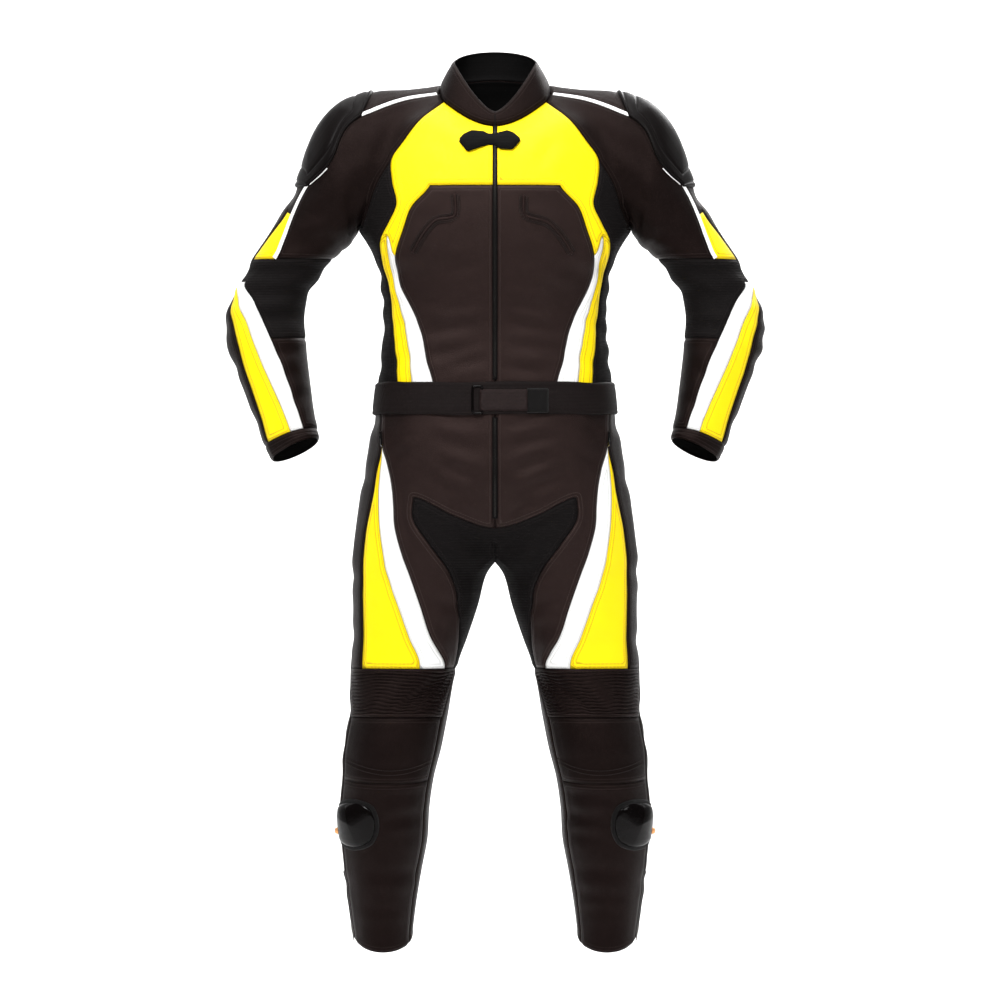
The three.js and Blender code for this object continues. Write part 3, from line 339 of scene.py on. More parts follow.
def jacket_panel(r, c):
    if c >= 9:
        return "back"
    if r < BODY_TOP:
        return "chest" if c < 5 else "side_stretch" if (c, r) == (5, 3) else NONE
    if c < 3:
        return "front_body"
    if r < ARMPIT:
        return "chest" if c < 5 else "side_stretch" if c < 6 else NONE
    return "side_white" if c < 4 else "side_yellow" if c < 5 else "side_stretch"


def sleeve_panel(r, c):
    if r >= 17:
        return "cuff"
    if r < 9:
        if 1 <= c < 11:
            return "sleeve_front"
        return "upper_arm_yellow" if c in (0, 19) and r >= 7 else "sleeve_back"
    if 13 <= c < 19:
        return "sleeve_back"
    if r < 10:
        return "elbow_stretch"
    if c in (0, 19):
        return "forearm_white" if c == 0 else "forearm_yellow"
    return "elbow_stretch" if r < 13 else "forearm_front"


def trouser_panel(r, c):
    if r < CROTCH_ROW and c >= 12:
        return NONE
    if r >= ACCORDION_ROW:
        if not 1 <= c < 7:
            return "leg_back"
        return "knee_accordion" if r < KNEE_ROW else "knee" if r < SHIN_ROW else "shin"
    if c >= 12:
        return "crotch_stretch"
    if c < 4:
        return "crotch_stretch" if r >= 6 and c < 2 else "thigh_front"
    if c < 6:
        return "thigh_white" if c < 5 else "thigh_yellow"
    return "seat" if r < CROTCH_ROW and c >= 8 else "leg_back"


def collar_panel(r, c):
    return "collar"


WHOLE = ("back", "collar", "crotch_stretch", "seat")

# Creases by the face they show on: x and z of both ends, bend, depth and width.
# Each lies on the wearer's left; its fellow on the right is moved and weaker or stronger.
CREASES = {"front": [
    # front of the body
    (20, -330, 96, -346, 8, 2.0, 10), (16, -352, 110, -372, -7, 2.4, 11),
    (30, -392, 120, -408, 8, 2.2, 10), (12, -424, 84, -436, -5, 1.8, 9),
    (60, -296, 128, -318, 9, 1.8, 10), (112, -402, 168, -428, 6, 2.4, 10),
    (128, -346, 170, -366, 5, 2.0, 9), (24, -250, 80, -262, 6, 1.2, 12),
    (96, -60, 62, -108, 8, 1.6, 12), (60, -160, 128, -196, 10, 1.4, 14),
    (150, -236, 186, -300, 8, 2.2, 11), (168, -330, 182, -400, -5, 2.0, 10),
    # armpit and upper sleeve
    (196, -160, 244, -226, 10, 3.4, 13), (210, -130, 262, -200, 9, 2.8, 12),
    (228, -236, 290, -250, 7, 2.8, 11), (236, -212, 312, -222, -6, 2.4, 11),
    (200, -70, 250, -110, 8, 1.8, 14), (254, -150, 296, -196, 8, 2.0, 12),
    (160, -40, 204, -86, 7, 1.5, 13),
    # elbow
    (290, -278, 376, -290, 8, 3.2, 11), (298, -304, 392, -318, -9, 3.6, 11),
    (306, -332, 402, -342, 8, 3.4, 11), (306, -360, 396, -362, -7, 3.0, 11),
    (304, -390, 372, -396, 6, 2.4, 10), (314, -432, 356, -452, 5, 1.8, 10),
    (300, -470, 340, -500, -5, 1.8, 10), (322, -500, 352, -536, 4, 1.4, 9),
    # hips and crotch
    (20, -520, 88, -508, 6, 2.0, 10), (24, -560, 100, -540, 8, 2.4, 11),
    (26, -600, 92, -574, 8, 2.6, 11), (30, -640, 118, -600, 9, 2.2, 11),
    (22, -668, 60, -644, 5, 2.6, 9), (40, -700, 104, -656, -8, 2.6, 10),
    (28, -724, 88, -706, 6, 2.8, 9), (120, -520, 174, -536, 6, 1.8, 10),
    (132, -566, 178, -584, -5, 1.8, 10),
    # thigh
    (34, -770, 96, -752, 8, 2.4, 11), (40, -808, 110, -796, -8, 2.2, 11),
    (60, -850, 128, -842, 7, 1.6, 12), (150, -760, 206, -772, 7, 1.6, 13),
    (130, -856, 204, -868, -8, 1.6, 13), (76, -890, 118, -902, 6, 1.8, 10),
    # knee and shin
    (108, -1050, 226, -1056, -14, 1.8, 12), (118, -1074, 220, -1078, -12, 1.6, 10),
    (112, -1112, 196, -1118, 8, 2.6, 10), (108, -1140, 180, -1150, -7, 2.4, 10),
    (112, -1176, 176, -1184, 7, 2.2, 10), (120, -1236, 214, -1240, 9, 2.2, 11),
    (128, -1268, 218, -1276, -8, 2.4, 10), (134, -1300, 210, -1302, 7, 2.0, 9),
], "back": [
    (16, -120, 90, -104, 8, 1.6, 14), (24, -216, 120, -196, 10, 2.0, 14),
    (18, -300, 120, -312, -9, 2.2, 12), (20, -344, 132, -352, 8, 2.8, 12),
    (14, -382, 140, -388, -9, 3.0, 12), (22, -420, 146, -428, 8, 2.4, 11),
    (120, -250, 176, -290, 8, 2.2, 12), (150, -140, 214, -196, 9, 2.6, 13),
    (214, -214, 300, -226, 8, 2.4, 12), (262, -270, 366, -276, -8, 2.8, 12),
    (300, -330, 404, -340, 8, 2.4, 12), (310, -400, 392, -416, -7, 2.2, 11),
    (304, -470, 372, -488, 6, 1.8, 10), (30, -560, 150, -572, 9, 2.0, 13),
    (26, -660, 130, -682, 14, 3.2, 13), (36, -712, 190, -724, 12, 3.4, 12),
    (50, -760, 196, -764, -9, 2.8, 12), (64, -830, 200, -838, 8, 2.2, 13),
    (90, -930, 212, -936, -8, 2.4, 12), (96, -984, 228, -980, 9, 3.2, 12),
    (104, -1022, 232, -1026, -10, 3.6, 12), (108, -1060, 234, -1054, 9, 3.2, 12),
    (112, -1100, 226, -1106, -8, 2.6, 11), (118, -1180, 226, -1188, 8, 2.0, 12),
    (128, -1262, 220, -1268, -8, 2.4, 11), (136, -1306, 214, -1304, 7, 2.0, 9),
], "side": [  # with y in place of x
    (-60, -520, 50, -532, 8, 2.0, 12), (-40, -600, 70, -612, -8, 1.8, 13),
    (-50, -760, 60, -756, 8, 2.2, 13), (-44, -860, 56, -868, -8, 2.0, 13),
    (-30, -980, 60, -972, 8, 2.8, 12), (-34, -1024, 58, -1030, -8, 3.0, 12),
    (-20, -1090, 60, -1084, 7, 2.4, 11), (-20, -1250, 76, -1256, 8, 2.2, 11),
    (-50, -320, 60, -332, 8, 2.2, 12), (-46, -372, 62, -380, -8, 2.6, 12),
    (-40, -420, 60, -426, 7, 2.2, 11), (-40, -150, 44, -168, 8, 1.8, 13),
    (-40, -282, 52, -292, 8, 2.6, 12), (-44, -342, 46, -350, -7, 2.4, 12),
]}
CREASE_STEPS = 9


def nearest(points, start, end):
    """Least distance of each point to any of the segments, and the place along that segment."""
    along = end - start
    length = np.maximum((along**2).sum(-1), 1e-9)
    best = np.full(len(points), 1e9)
    place = np.zeros(len(points), int)
    share = np.zeros(len(points))
    for first in range(0, len(points), 1500):
        p = points[first : first + 1500, None]
        t = np.clip(((p - start) * along).sum(-1) / length, 0, 1)
        gap = ((p - start - t[..., None] * along) ** 2).sum(-1)
        k = gap.argmin(1)
        rows = np.arange(len(k))
        best[first : first + 1500] = np.sqrt(gap[rows, k])
        place[first : first + 1500] = k
        share[first : first + 1500] = t[rows, k]
    return best, place, share


def creased(points, normals, strength):
    """Rise of the cloth by its creases: a trough exp(-(d/w)^2) with a low ridge on either side, d the
    distance to a bent line, fading out at both ends."""
    rise = np.zeros(len(points))
    t = np.linspace(0, 1, CREASE_STEPS)[:, None]
    rows = [(face, *row) for face, group in CREASES.items() for row in group]
    for k, (face, a, za, b, zb, bend, depth, width) in enumerate(rows):
        for side in (1, -1):
            shift = np.array([7 * math.sin(1.7 * k), 9 * math.cos(2.3 * k)]) * (side < 0)
            force = strength * depth * (1 if side > 0 else 0.8 + 0.3 * math.sin(3.1 * k))
            if face == "side":
                flat = points[:, 1:]
                facing = normals[:, 0] * side
                ends = np.array([[a, za], [b, zb]], float) + shift
            else:
                flat = points[:, [0, 2]]
                facing = normals[:, 1] * (-1 if face == "front" else 1)
                ends = (np.array([[a, za], [b, zb]], float) + shift) * [side, 1]
            across = ends[1] - ends[0]
            middle = ends.mean(0) + bend * np.array([-across[1], across[0]]) / np.linalg.norm(across)
            line = (1 - t) ** 2 * ends[0] + 2 * t * (1 - t) * middle + t**2 * ends[1]
            low, high = line.min(0) - 3.2 * width, line.max(0) + 3.2 * width
            near = np.flatnonzero((facing > 0.1) & (flat > low).all(1) & (flat < high).all(1))
            if face == "side":
                near = near[points[near, 0] * side > 90]
            if not len(near):
                continue
            d, at, share = nearest(flat[near], line[:-1], line[1:])
            place = (at + share) / (CREASE_STEPS - 1)
            fade = np.sin(np.pi * np.clip(place, 0.02, 0.98)) ** 0.7
            ease = np.clip((facing[near] - 0.1) / 0.4, 0, 1)
            shape = -np.exp(-((d / width) ** 2)) + 0.45 * np.exp(-(((d - 1.8 * width) / width) ** 2))
            rise[near] += force * fade * ease * shape
    return np.clip(rise, -6, 4)


class Cloth:
    """The whole suit's cloth on fine grids, with one number for each place shared by all of them."""

    def __init__(self, strength):
        jacket, neck = jacket_surface()
        grids = {
            "jacket": (jacket, 12, False, jacket_panel),
            "sleeve": (sleeve_surface(jacket, neck), 20, True, sleeve_panel),
            "trousers": (trouser_surface(), 15, True, trouser_panel),
            "collar": (collar_surface(neck), 11, False, collar_panel),
        }
        points, faces, panels, self.grid = [], [], [], {}
        self.lattice = []
        offset = 0
        for name, (surface, columns, closed, panel_at) in grids.items():
            rows = surface.shape[0] - 1
            wide = surface.shape[1]
            ids = np.arange(surface.shape[0] * wide).reshape(surface.shape[:2])
            i, j = np.mgrid[0:rows, 0 : columns * N]
            k = (j + 1) % wide if closed else j + 1
            quads = np.stack([ids[i, j], ids[i + 1, j], ids[i + 1, k], ids[i, k]], -1).reshape(-1, 4)
            cell = np.array([[panel_at(r, c) for c in range(columns)] for r in range(rows // N)])
            owner = np.repeat(np.repeat(cell, N, 0), N, 1).reshape(-1)
            place = np.stack(np.mgrid[0 : rows + 1, 0:wide], -1).reshape(-1, 2)
            for side, sign in SIDES:
                flat = surface.reshape(-1, 3) * [sign, 1, 1]
                outward = self.faces_out(flat, quads, rows, wide)
                turned = quads if outward else quads[:, ::-1]
                points.append(flat)
                faces.append(turned + offset)
                whole = np.isin(owner, WHOLE)
                panels.append(np.where((owner == NONE) | whole, owner, np.char.add(owner, "_" + side)))
                self.lattice.append(place)
                self.grid[name, side] = (offset, rows + 1, wide)
                offset += len(flat)
        self.lattice = np.concatenate(self.lattice)
        every = np.concatenate(points)
        _, first, self.shared = np.unique(np.round(every * 50), axis=0, return_index=True,
                                          return_inverse=True)
        self.shared = self.shared.reshape(-1)
        self.points = every[first]
        faces, panels = np.concatenate(faces), np.concatenate(panels)
        keep = panels != NONE
        self.faces, self.panels = faces[keep], panels[keep]
        corners = self.shared[self.faces]
        p = self.points[corners]
        normal = np.cross(p[:, 2] - p[:, 0], p[:, 3] - p[:, 1])
        total = np.stack([np.bincount(corners.reshape(-1), np.repeat(normal[:, a], 4), len(self.points))
                          for a in range(3)], 1)
        self.normals = total / np.maximum(np.linalg.norm(total, axis=1, keepdims=True), 1e-9)
        self.rise = creased(self.points, self.normals, strength)
        pairs = np.sort(np.stack([corners, np.roll(corners, -1, 1)], -1).reshape(-1, 2), 1)
        pairs = pairs[pairs[:, 0] != pairs[:, 1]]
        edges, uses = np.unique(pairs, axis=0, return_counts=True)
        self.free = self.code(edges[uses == 1])

    def code(self, edges):
        """One number for each pair of places, whichever comes first."""
        low, high = np.sort(edges, 1).T
        return low * len(self.points) + high

    @staticmethod
    def faces_out(flat, quads, rows, wide):
        """Whether the faces point away from the middle of their rings."""
        p = flat[quads]
        normal = np.cross(p[:, 2] - p[:, 0], p[:, 3] - p[:, 1])
        middle = np.repeat(flat.reshape(rows + 1, wide, 3).mean(1)[:-1], len(quads) // rows, 0)
        middle[:, 0] *= 0.6
        return (normal * (p.mean(1) - middle)).sum() > 0

    def at(self, name, side, row, column):
        """Places and normals of the creased cloth at any row and column of a grid."""
        offset, rows, wide = self.grid[name, side]
        row, column = np.broadcast_arrays(np.asarray(row, float) * N, np.asarray(column, float) * N)
        i = np.clip(np.floor(row).astype(int), 0, rows - 2)
        j = np.floor(column).astype(int)
        s, t = (row - i)[..., None], (column - j)[..., None]
        ids = [self.shared[offset + (i + a) * wide + (j + b) % wide] for a in (0, 1) for b in (0, 1)]
        weights = [(1 - s) * (1 - t), (1 - s) * t, s * (1 - t), s * t]
        lifted = self.points + self.normals * self.rise[:, None]
        place = sum(w * lifted[k] for w, k in zip(weights, ids))
        normal = sum(w * self.normals[k] for w, k in zip(weights, ids))
        return place, normal / np.linalg.norm(normal, axis=-1, keepdims=True)


# Meshes


def new_object(name, points, faces, nodes=(), body="suit", attributes=None, materials=(), smooth=True):
    """A piece at the origin from points in millimetres and an array of faces for each corner count."""
    mesh = bpy.data.meshes.new(name)
    mesh.from_pydata((np.asarray(points) * MM).tolist(), [],
                     [face for block in faces for face in block.tolist()])
    for key, values in (attributes or {}).items():
        mesh.attributes.new(key, "FLOAT", "POINT").data.foreach_set("value", np.asarray(values, np.float32))
    mesh.polygons.foreach_set("use_smooth", np.full(len(mesh.polygons), smooth))
    mesh.update()
    piece = bpy.data.objects.new(name, mesh)
    bpy.context.scene.collection.objects.link(piece)
    for material in materials:
        mesh.materials.append(material)
    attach(piece, body)
    if nodes:
        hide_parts(*nodes)
    return piece


def walled(piece, thickness, lined=False):
    """Gives a sheet its thickness inwards; the inside takes the lining."""
    wall = piece.modifiers.new("Thickness", "SOLIDIFY")
    wall.thickness = thickness * MM
    wall.offset = -1
    wall.material_offset = int(lined)


def clean_faces(quads):
    """Quads with a corner that stands twice become triangles, and slivers go."""
    twice = quads == np.roll(quads, -1, 1)
    count = twice.sum(1)
    keep = np.arange(4)[None] != twice[count == 1].argmax(1)[:, None]
    return [quads[count == 0], quads[count == 1][keep].reshape(-1, 3)]


def grid_faces(rows, columns, closed=False, looped=False, offset=0):
    """Quads over a grid of points, joined round the columns if closed and round the rows if looped."""
    i, j = np.mgrid[0 : rows if looped else rows - 1, 0 : columns if closed else columns - 1]
    below, k = (i + 1) % rows, (j + 1) % columns
    quads = np.stack([i * columns + j, below * columns + j, below * columns + k, i * columns + k], -1)
    return quads.reshape(-1, 4) + offset


def turned_out(points, faces):
    """Reverses the faces of a closed mesh whose volume is below nothing."""
    total = 0
    for block in faces:
        for k in range(1, block.shape[1] - 1):
            a, b, c = points[block[:, 0]], points[block[:, k]], points[block[:, k + 1]]
            total += np.einsum("ij,ij->", a, np.cross(b, c))
    return faces if total > 0 else [block[:, ::-1] for block in faces]


def swept(name, path, side, up, profile, material, nodes=(), looped=False):
    """A piece that carries a closed profile (sideways, upwards) along a path: path + side * s + up * h."""
    profile = np.asarray(profile, float)
    points = path[:, None] + side[:, None] * profile[None, :, :1] + up[:, None] * profile[None, :, 1:]
    rows, count = points.shape[:2]
    points = points.reshape(-1, 3)
    faces = [grid_faces(rows, count, True, looped)]
    if not looped:
        end = np.arange(count)
        faces.append(np.stack([end, ((rows - 1) * count + end)[::-1]]))
    return new_object(name, points, turned_out(points, faces), nodes, materials=[material],
                      attributes={"seam": np.full(len(points), FAR)})


def unit(v):
    return v / np.maximum(np.linalg.norm(v, axis=-1, keepdims=True), 1e-9)


def at_steps(step, ends, place, *directions):
    """The places at even steps along a path, clear of its ends, with the unit directions there."""
    run = np.concatenate([[0], np.cumsum(np.linalg.norm(np.diff(place, axis=0), axis=1))])
    lengths = np.arange(ends, run[-1] - ends, step)
    found = [np.stack([np.interp(lengths, run, values[:, k]) for k in range(3)], 1)
             for values in (place, *directions)]
    return [found[0]] + [unit(values) for values in found[1:]]


def blocks(centres, along, across, up, size):
    """A small box at each centre, its edges along three given directions; one size for all or one each."""
    corner = np.array([[a, b, c] for a in (-0.5, 0.5) for b in (-0.5, 0.5) for c in (-0.5, 0.5)])
    corner = corner * np.asarray(size)[..., None, :]
    points = (centres[:, None] + along[:, None] * corner[..., :1] + across[:, None] * corner[..., 1:2]
              + up[:, None] * corner[..., 2:])
    box = np.array([[0, 1, 3, 2], [4, 6, 7, 5], [0, 4, 5, 1], [2, 3, 7, 6], [0, 2, 6, 4], [1, 5, 7, 3]])
    faces = (box[None] + 8 * np.arange(len(centres))[:, None, None]).reshape(-1, 4)
    return points.reshape(-1, 3), [faces]


def half_round(width, height, count=9, drop=0.8):
    """Profile of a low welt: half an ellipse above a flat underside."""
    turn = np.linspace(0, np.pi, count)
    top = np.stack([width / 2 * np.cos(turn), height * np.sin(turn)], 1)
    return np.concatenate([top, [[-width / 2, -drop], [width / 2, -drop]]])


def cloth():
    """The cloth, worked out once."""
    if "cloth" not in MADE:
        MADE["cloth"] = Cloth(bpy.context.scene.suit_sizes.crease_strength)
    return MADE["cloth"]


MADE = {}
TOOTH_PITCH = 2.6

# What each panel is made of; the panels of the last list take a darker copy of the black hide, painted shade
# where less light falls
YELLOW_PANELS = ("chest", "side_yellow", "upper_arm_yellow", "forearm_yellow", "thigh_yellow")
WHITE_PANELS = ("side_white", "forearm_white", "thigh_white")
STRETCH_PANELS = ("side_stretch", "elbow_stretch", "crotch_stretch")
SHADE_PAINTED_PANELS = ("back", "collar", "sleeve_front", "sleeve_back", "forearm_front", "cuff", "seat", "leg_back",
               "knee", "shin")


def panel_slot(base):
    if base in YELLOW_PANELS:
        return "yellow_leather"
    if base in WHITE_PANELS:
        return "white_leather"
    return "stretch_cloth" if base in STRETCH_PANELS else "black_leather"


def panel_sizes(points, place):
    """Width and length of a panel's cut: its longest run of points along a row, the body's two halves
    added, and along a column."""
    half = (points[:, 0] < 0).astype(int)
    sizes = []
    for axis in (0, 1):
        order = np.lexsort((place[:, 1 - axis], place[:, axis], half))
        p, k, t, h = points[order], place[order, axis], place[order, 1 - axis], half[order]
        same = (h[1:] == h[:-1]) & (k[1:] == k[:-1]) & (t[1:] - t[:-1] == 1)
        step = np.linalg.norm(np.diff(p, axis=0), axis=1) * same
        runs = np.bincount(2 * k[1:] + h[1:], step, 2 * (k.max() + 1)).reshape(-1, 2)
        sizes.append((runs.sum(1) if axis == 0 else runs).max() * MM)
    return sizes


def build_panel(name):
    """A panel of the cloth: its edges turn down into the seams, d from the edge as
    -depth exp(-(d/2)^2), with a low swell beside them, and hems turn in."""
    suit = cloth()
    sizes = bpy.context.scene.suit_sizes
    base = name.rsplit("_", 1)[0] if name.endswith(("left", "right")) else name
    chosen = suit.faces[suit.panels == name]
    ids, first, index = np.unique(suit.shared[chosen].reshape(-1), return_index=True, return_inverse=True)
    place = suit.lattice[chosen.reshape(-1)[first]]
    quads = index.reshape(-1, 4)
    pairs = np.sort(np.stack([quads, np.roll(quads, -1, 1)], -1).reshape(-1, 2), 1)
    pairs = pairs[pairs[:, 0] != pairs[:, 1]]
    edges, uses = np.unique(pairs, axis=0, return_counts=True)
    rim = edges[uses == 1]
    hem = np.isin(suit.code(ids[rim]), suit.free)
    points, normals = suit.points[ids], suit.normals[ids]
    far = np.full(len(points), 200.0)
    seam, edge, run = far, far, np.zeros(len(points))
    if (~hem).any():
        sewn = rim[~hem]
        seam, at, _ = nearest(points, points[sewn[:, 0]], points[sewn[:, 1]])
        turn = np.abs(place[sewn[:, 1]] - place[sewn[:, 0]])
        run = np.where(turn[at, 0] > turn[at, 1], place[:, 0], place[:, 1]).astype(float)
    if hem.any():
        cut = rim[hem]
        edge, at, _ = nearest(points, points[cut[:, 0]], points[cut[:, 1]])
        run = np.where(edge < seam, place[:, 1], run)
    rise = suit.rise[ids].copy()
    rise += -sizes.seam_depth / MM * np.exp(-((seam / 2) ** 2)) + 0.7 * np.exp(-(((seam - 9) / 6) ** 2))
    rise += -0.8 * np.exp(-((edge / 2) ** 2)) + 0.9 * np.exp(-(((edge - 5) / 4) ** 2))
    slot = panel_slot(base)
    # Panels that lie in shade take the darker copy of the black leather: painted shade
    finish = "deep_leather" if base in SHADE_PAINTED_PANELS else slot
    piece = new_object(name, points + normals * rise[:, None], clean_faces(quads), [name],
                       attributes={"seam": np.minimum(seam, edge), "run": run},
                       materials=[MADE[finish], MADE["lining"]])
    walled(piece, sizes.leather_thickness / MM, True)
    p = points[quads]
    area = np.linalg.norm(np.cross(p[:, 2] - p[:, 0], p[:, 3] - p[:, 1]), axis=1).sum() / 2 * MM * MM
    declare_cut(piece, *panel_sizes(points, place), area)
    return piece


def declare_cut(piece, length, width, area):
    """Works out the flat cut of a panel from its width, its length and its area, and passes it to nothing.
    """
    width, length = sorted((max(width, 0.012), max(length, 0.012)))
    if width * length < area:
        length = area / width * 1.01
    if area < 0.31 * width * length:
        length = area / (0.31 * width)


def shell_piece(name, grid, side, heights, slot, material, nodes=(), facets=(), rings=28, around=96, *,
                row, column, rows, columns, square):
    """A hard shell on the cloth: rings of a rounded square, its height read from (share, height) pairs.
    Each facet (a, b, from, fall) takes fall * (a u + b v - from) off where that is above nothing."""
    share = np.linspace(0, 1, rings)[1:] ** 0.9
    phi = np.linspace(0, 2 * np.pi, around, endpoint=False)
    big = np.maximum(np.abs(np.cos(phi)), np.abs(np.sin(phi)))
    a, b = share[:, None] * np.cos(phi) / big, share[:, None] * np.sin(phi) / big
    u, v = a * np.sqrt(1 - square * b**2 / 2), b * np.sqrt(1 - square * a**2 / 2)
    place, normal = cloth().at(grid, side, row + v * rows, column + u * columns)
    tip, tip_normal = cloth().at(grid, side, row, column)
    known = np.array(heights, float)
    rise = np.interp(share, known[:, 0], known[:, 1])[:, None] + 0 * u
    top = known[0, 1]
    for fa, fb, start, fall in facets:
        rise = rise - fall * np.maximum(0, fa * u + fb * v - start) * (rise / top)
        top = top - fall * max(0, -start)
    outer = place + normal * rise[..., None]
    skirt = place[-1] - normal[-1] * 1.2
    points = np.concatenate([(tip + tip_normal * top)[None], outer.reshape(-1, 3), skirt,
                             (tip - tip_normal * 1.2)[None]])
    k = np.arange(around)
    n = (k + 1) % around
    last = len(points) - 1
    faces = [grid_faces(rings, around, True, offset=1), np.stack([0 * k, 1 + k, 1 + n], 1),
             np.stack([0 * k + last, last - around + n, last - around + k], 1)]
    new_object(name, points, turned_out(points, faces), nodes, materials=[material])


def track(grid, side, row, column):
    """A line on the creased cloth: its places, normals and directions along and across."""
    place, normal = cloth().at(grid, side, row, column)
    if np.ndim(column) == 0 and column == 0:
        place[:, 0], normal[:, 0] = 0, 0
        normal = unit(normal)
    along = unit(np.gradient(place, axis=0))
    return place, normal, along, unit(np.cross(normal, along))


def build_zip(name, line, width, rise=2.2, nodes=(), teeth=None, tooth=(3.6, 1.9)):
    """A zip: a flat tape with a raised cord along either row of teeth, and two rows of teeth that mesh,
    every other one a little to either side of the middle."""
    place, _, along, across = line
    up = unit(np.cross(along, across))
    edge = width / 2 * np.array([1, 1, 0.62, 0.5, 0.2])
    high = np.array([-0.8, 0.35 * rise, 0.5 * rise, 0.9 * rise, 0.75 * rise])
    right = np.stack([edge, high], 1)
    profile = np.concatenate([right[:1] * [-1, 1], right, right[:0:-1] * [-1, 1]])
    swept(name, place, across, up, profile,
          MADE["tape"], nodes)
    if not teeth:
        return
    centre, run, over, out = at_steps(TOOTH_PITCH / 2, TOOTH_PITCH, place, along, across, up)
    swing = np.where(np.arange(len(centre)) % 2, 0.22, -0.22)[:, None] * tooth[0]
    points, faces = blocks(centre + over * swing + out * tooth[1], run, over, out,
                           [TOOTH_PITCH * 0.34, tooth[0] * 0.62, 1.1])
    new_object(name.replace("zip", "zip_teeth"), points, faces, materials=[MADE[teeth]], smooth=False)


def front_depth(names, low, high, degree=4):
    """How deep the front lies at x and z: the polynomial of x and z that fits the cloth there best."""
    suit = cloth()
    ids = np.unique(suit.shared[suit.faces[np.isin(suit.panels, names)]])
    p = suit.points[ids] + suit.normals[ids] * suit.rise[ids][:, None]
    x, y, z = p.T
    p = p[(x > low[0]) & (x < high[0]) & (z > low[1]) & (z < high[1]) & (y < 0)]
    middle, size = (np.array(low) + high) / 2, (np.array(high) - low) / 2
    powers = [(i, j) for i in range(degree + 1) for j in range(degree + 1 - i)]

    def terms(x, z):
        a, b = (x - middle[0]) / size[0], (z - middle[1]) / size[1]
        return np.stack([a**i * b**j for i, j in powers], -1)

    fit = np.linalg.lstsq(terms(p[:, 0], p[:, 2]), p[:, 1], rcond=None)[0]
    return lambda x, z: terms(np.asarray(x, float), np.asarray(z, float)) @ fit


# Finishes


def feed(tree, socket, value):
    """Gives a socket a value or wires it to another node's output."""
    if isinstance(value, bpy.types.NodeSocket):
        tree.links.new(value, socket)
    else:
        socket.default_value = value


def put(tree, kind, **settings):
    """A new node; a setting with a capital is a socket, with _ for each space in its name."""
    made = tree.nodes.new(kind)
    for key, value in settings.items():
        if key[0].isupper():
            feed(tree, made.inputs[key.replace("_", " ")], value)
        else:
            setattr(made, key, value)
    return made


def maths(tree, operation, *values, clamp=False):
    """The output of a Math node."""
    made = put(tree, "ShaderNodeMath", operation=operation, use_clamp=clamp)
    for socket, value in zip(made.inputs, values):
        feed(tree, socket, value)
    return made.outputs[0]


def blend_colour(tree, share, first, second):
    """The output of a Mix node between two colours."""
    made = put(tree, "ShaderNodeMix", data_type="RGBA")
    for k, value in ((0, share), (6, first), (7, second)):
        feed(tree, made.inputs[k], value)
    return made.outputs[2]


def new_group(name, inputs, outputs):
    """A shader node group; its inputs are a vector and numbers, its outputs are numbers."""
    group = bpy.data.node_groups.new(name, "ShaderNodeTree")
    for socket, default in inputs.items():
        if default is None:
            group.interface.new_socket(socket, in_out="INPUT", socket_type="NodeSocketVector")
        else:
            made = group.interface.new_socket(socket, in_out="INPUT", socket_type="NodeSocketFloat")
            made.default_value = default
    for socket in outputs:
        group.interface.new_socket(socket, in_out="OUTPUT", socket_type="NodeSocketFloat")
    return group, group.nodes.new("NodeGroupInput").outputs, group.nodes.new("NodeGroupOutput").inputs


def leather_grain():
    """Pebbled grain: cells by the distance to their edges, uneven in size, with fine pores, and a
    slow change of tone over the hide."""
    group, given, out = new_group("Leather grain", {"Vector": None, "Grain size": 520.0, "Unevenness": 0.5},
                                  ["Height", "Tone"])
    vector = given["Vector"]
    warp = put(group, "ShaderNodeTexNoise", Vector=vector, Scale=140.0, Detail=2.0)
    shift = put(group, "ShaderNodeVectorMath", operation="SCALE", Vector=warp.outputs["Color"], Scale=0.002)
    moved = put(group, "ShaderNodeVectorMath", operation="ADD", Vector=vector)
    feed(group, moved.inputs[1], shift.outputs[0])
    cells = put(group, "ShaderNodeTexVoronoi", feature="DISTANCE_TO_EDGE", Vector=moved.outputs[0],
                Scale=given["Grain size"])
    pores = put(group, "ShaderNodeTexNoise", Vector=vector, Scale=1700.0, Detail=2.0)
    slow = put(group, "ShaderNodeTexNoise", Vector=vector, Scale=11.0, Detail=4.0, Roughness=0.6)
    pebble = maths(group, "MULTIPLY", maths(group, "MINIMUM", cells.outputs["Distance"], 0.28), 2.6)
    fine = maths(group, "MULTIPLY", pores.outputs["Fac"], 0.3)
    soft = maths(group, "MULTIPLY", maths(group, "MULTIPLY", slow.outputs["Fac"], given["Unevenness"]), 1.2)
    feed(group, out["Height"], maths(group, "ADD", maths(group, "ADD", pebble, fine), soft))
    feed(group, out["Tone"], slow.outputs["Fac"])
    return group


def stitch_rows():
    """Two rows of thread beside a seam, by the distance to it and the place along it."""
    group, given, out = new_group("Stitch rows", {"Seam": 100.0, "Run": 0.0, "First": 3.0, "Second": 8.0},
                                  ["Thread", "Sunk"])
    off = maths(group, "MINIMUM", *(
        maths(group, "ABSOLUTE", maths(group, "SUBTRACT", given["Seam"], given[row]))
        for row in ("First", "Second")))
    thread = maths(group, "SUBTRACT", 1.0, maths(group, "DIVIDE", off, 0.55), clamp=True)
    # The sunk band is pressed in by the bump, and the leather also darkens it as painted shade
    sunk = maths(group, "SUBTRACT", 1.0, maths(group, "DIVIDE", off, 1.6), clamp=True)
    beat = maths(group, "FRACT", maths(group, "MULTIPLY", given["Run"], 2.0))
    dash = maths(group, "LESS_THAN", maths(group, "ABSOLUTE", maths(group, "SUBTRACT", beat, 0.5)), 0.36)
    feed(group, out["Thread"], maths(group, "MULTIPLY", maths(group, "GREATER_THAN", thread, 0.15), dash))
    feed(group, out["Sunk"], sunk)
    return group


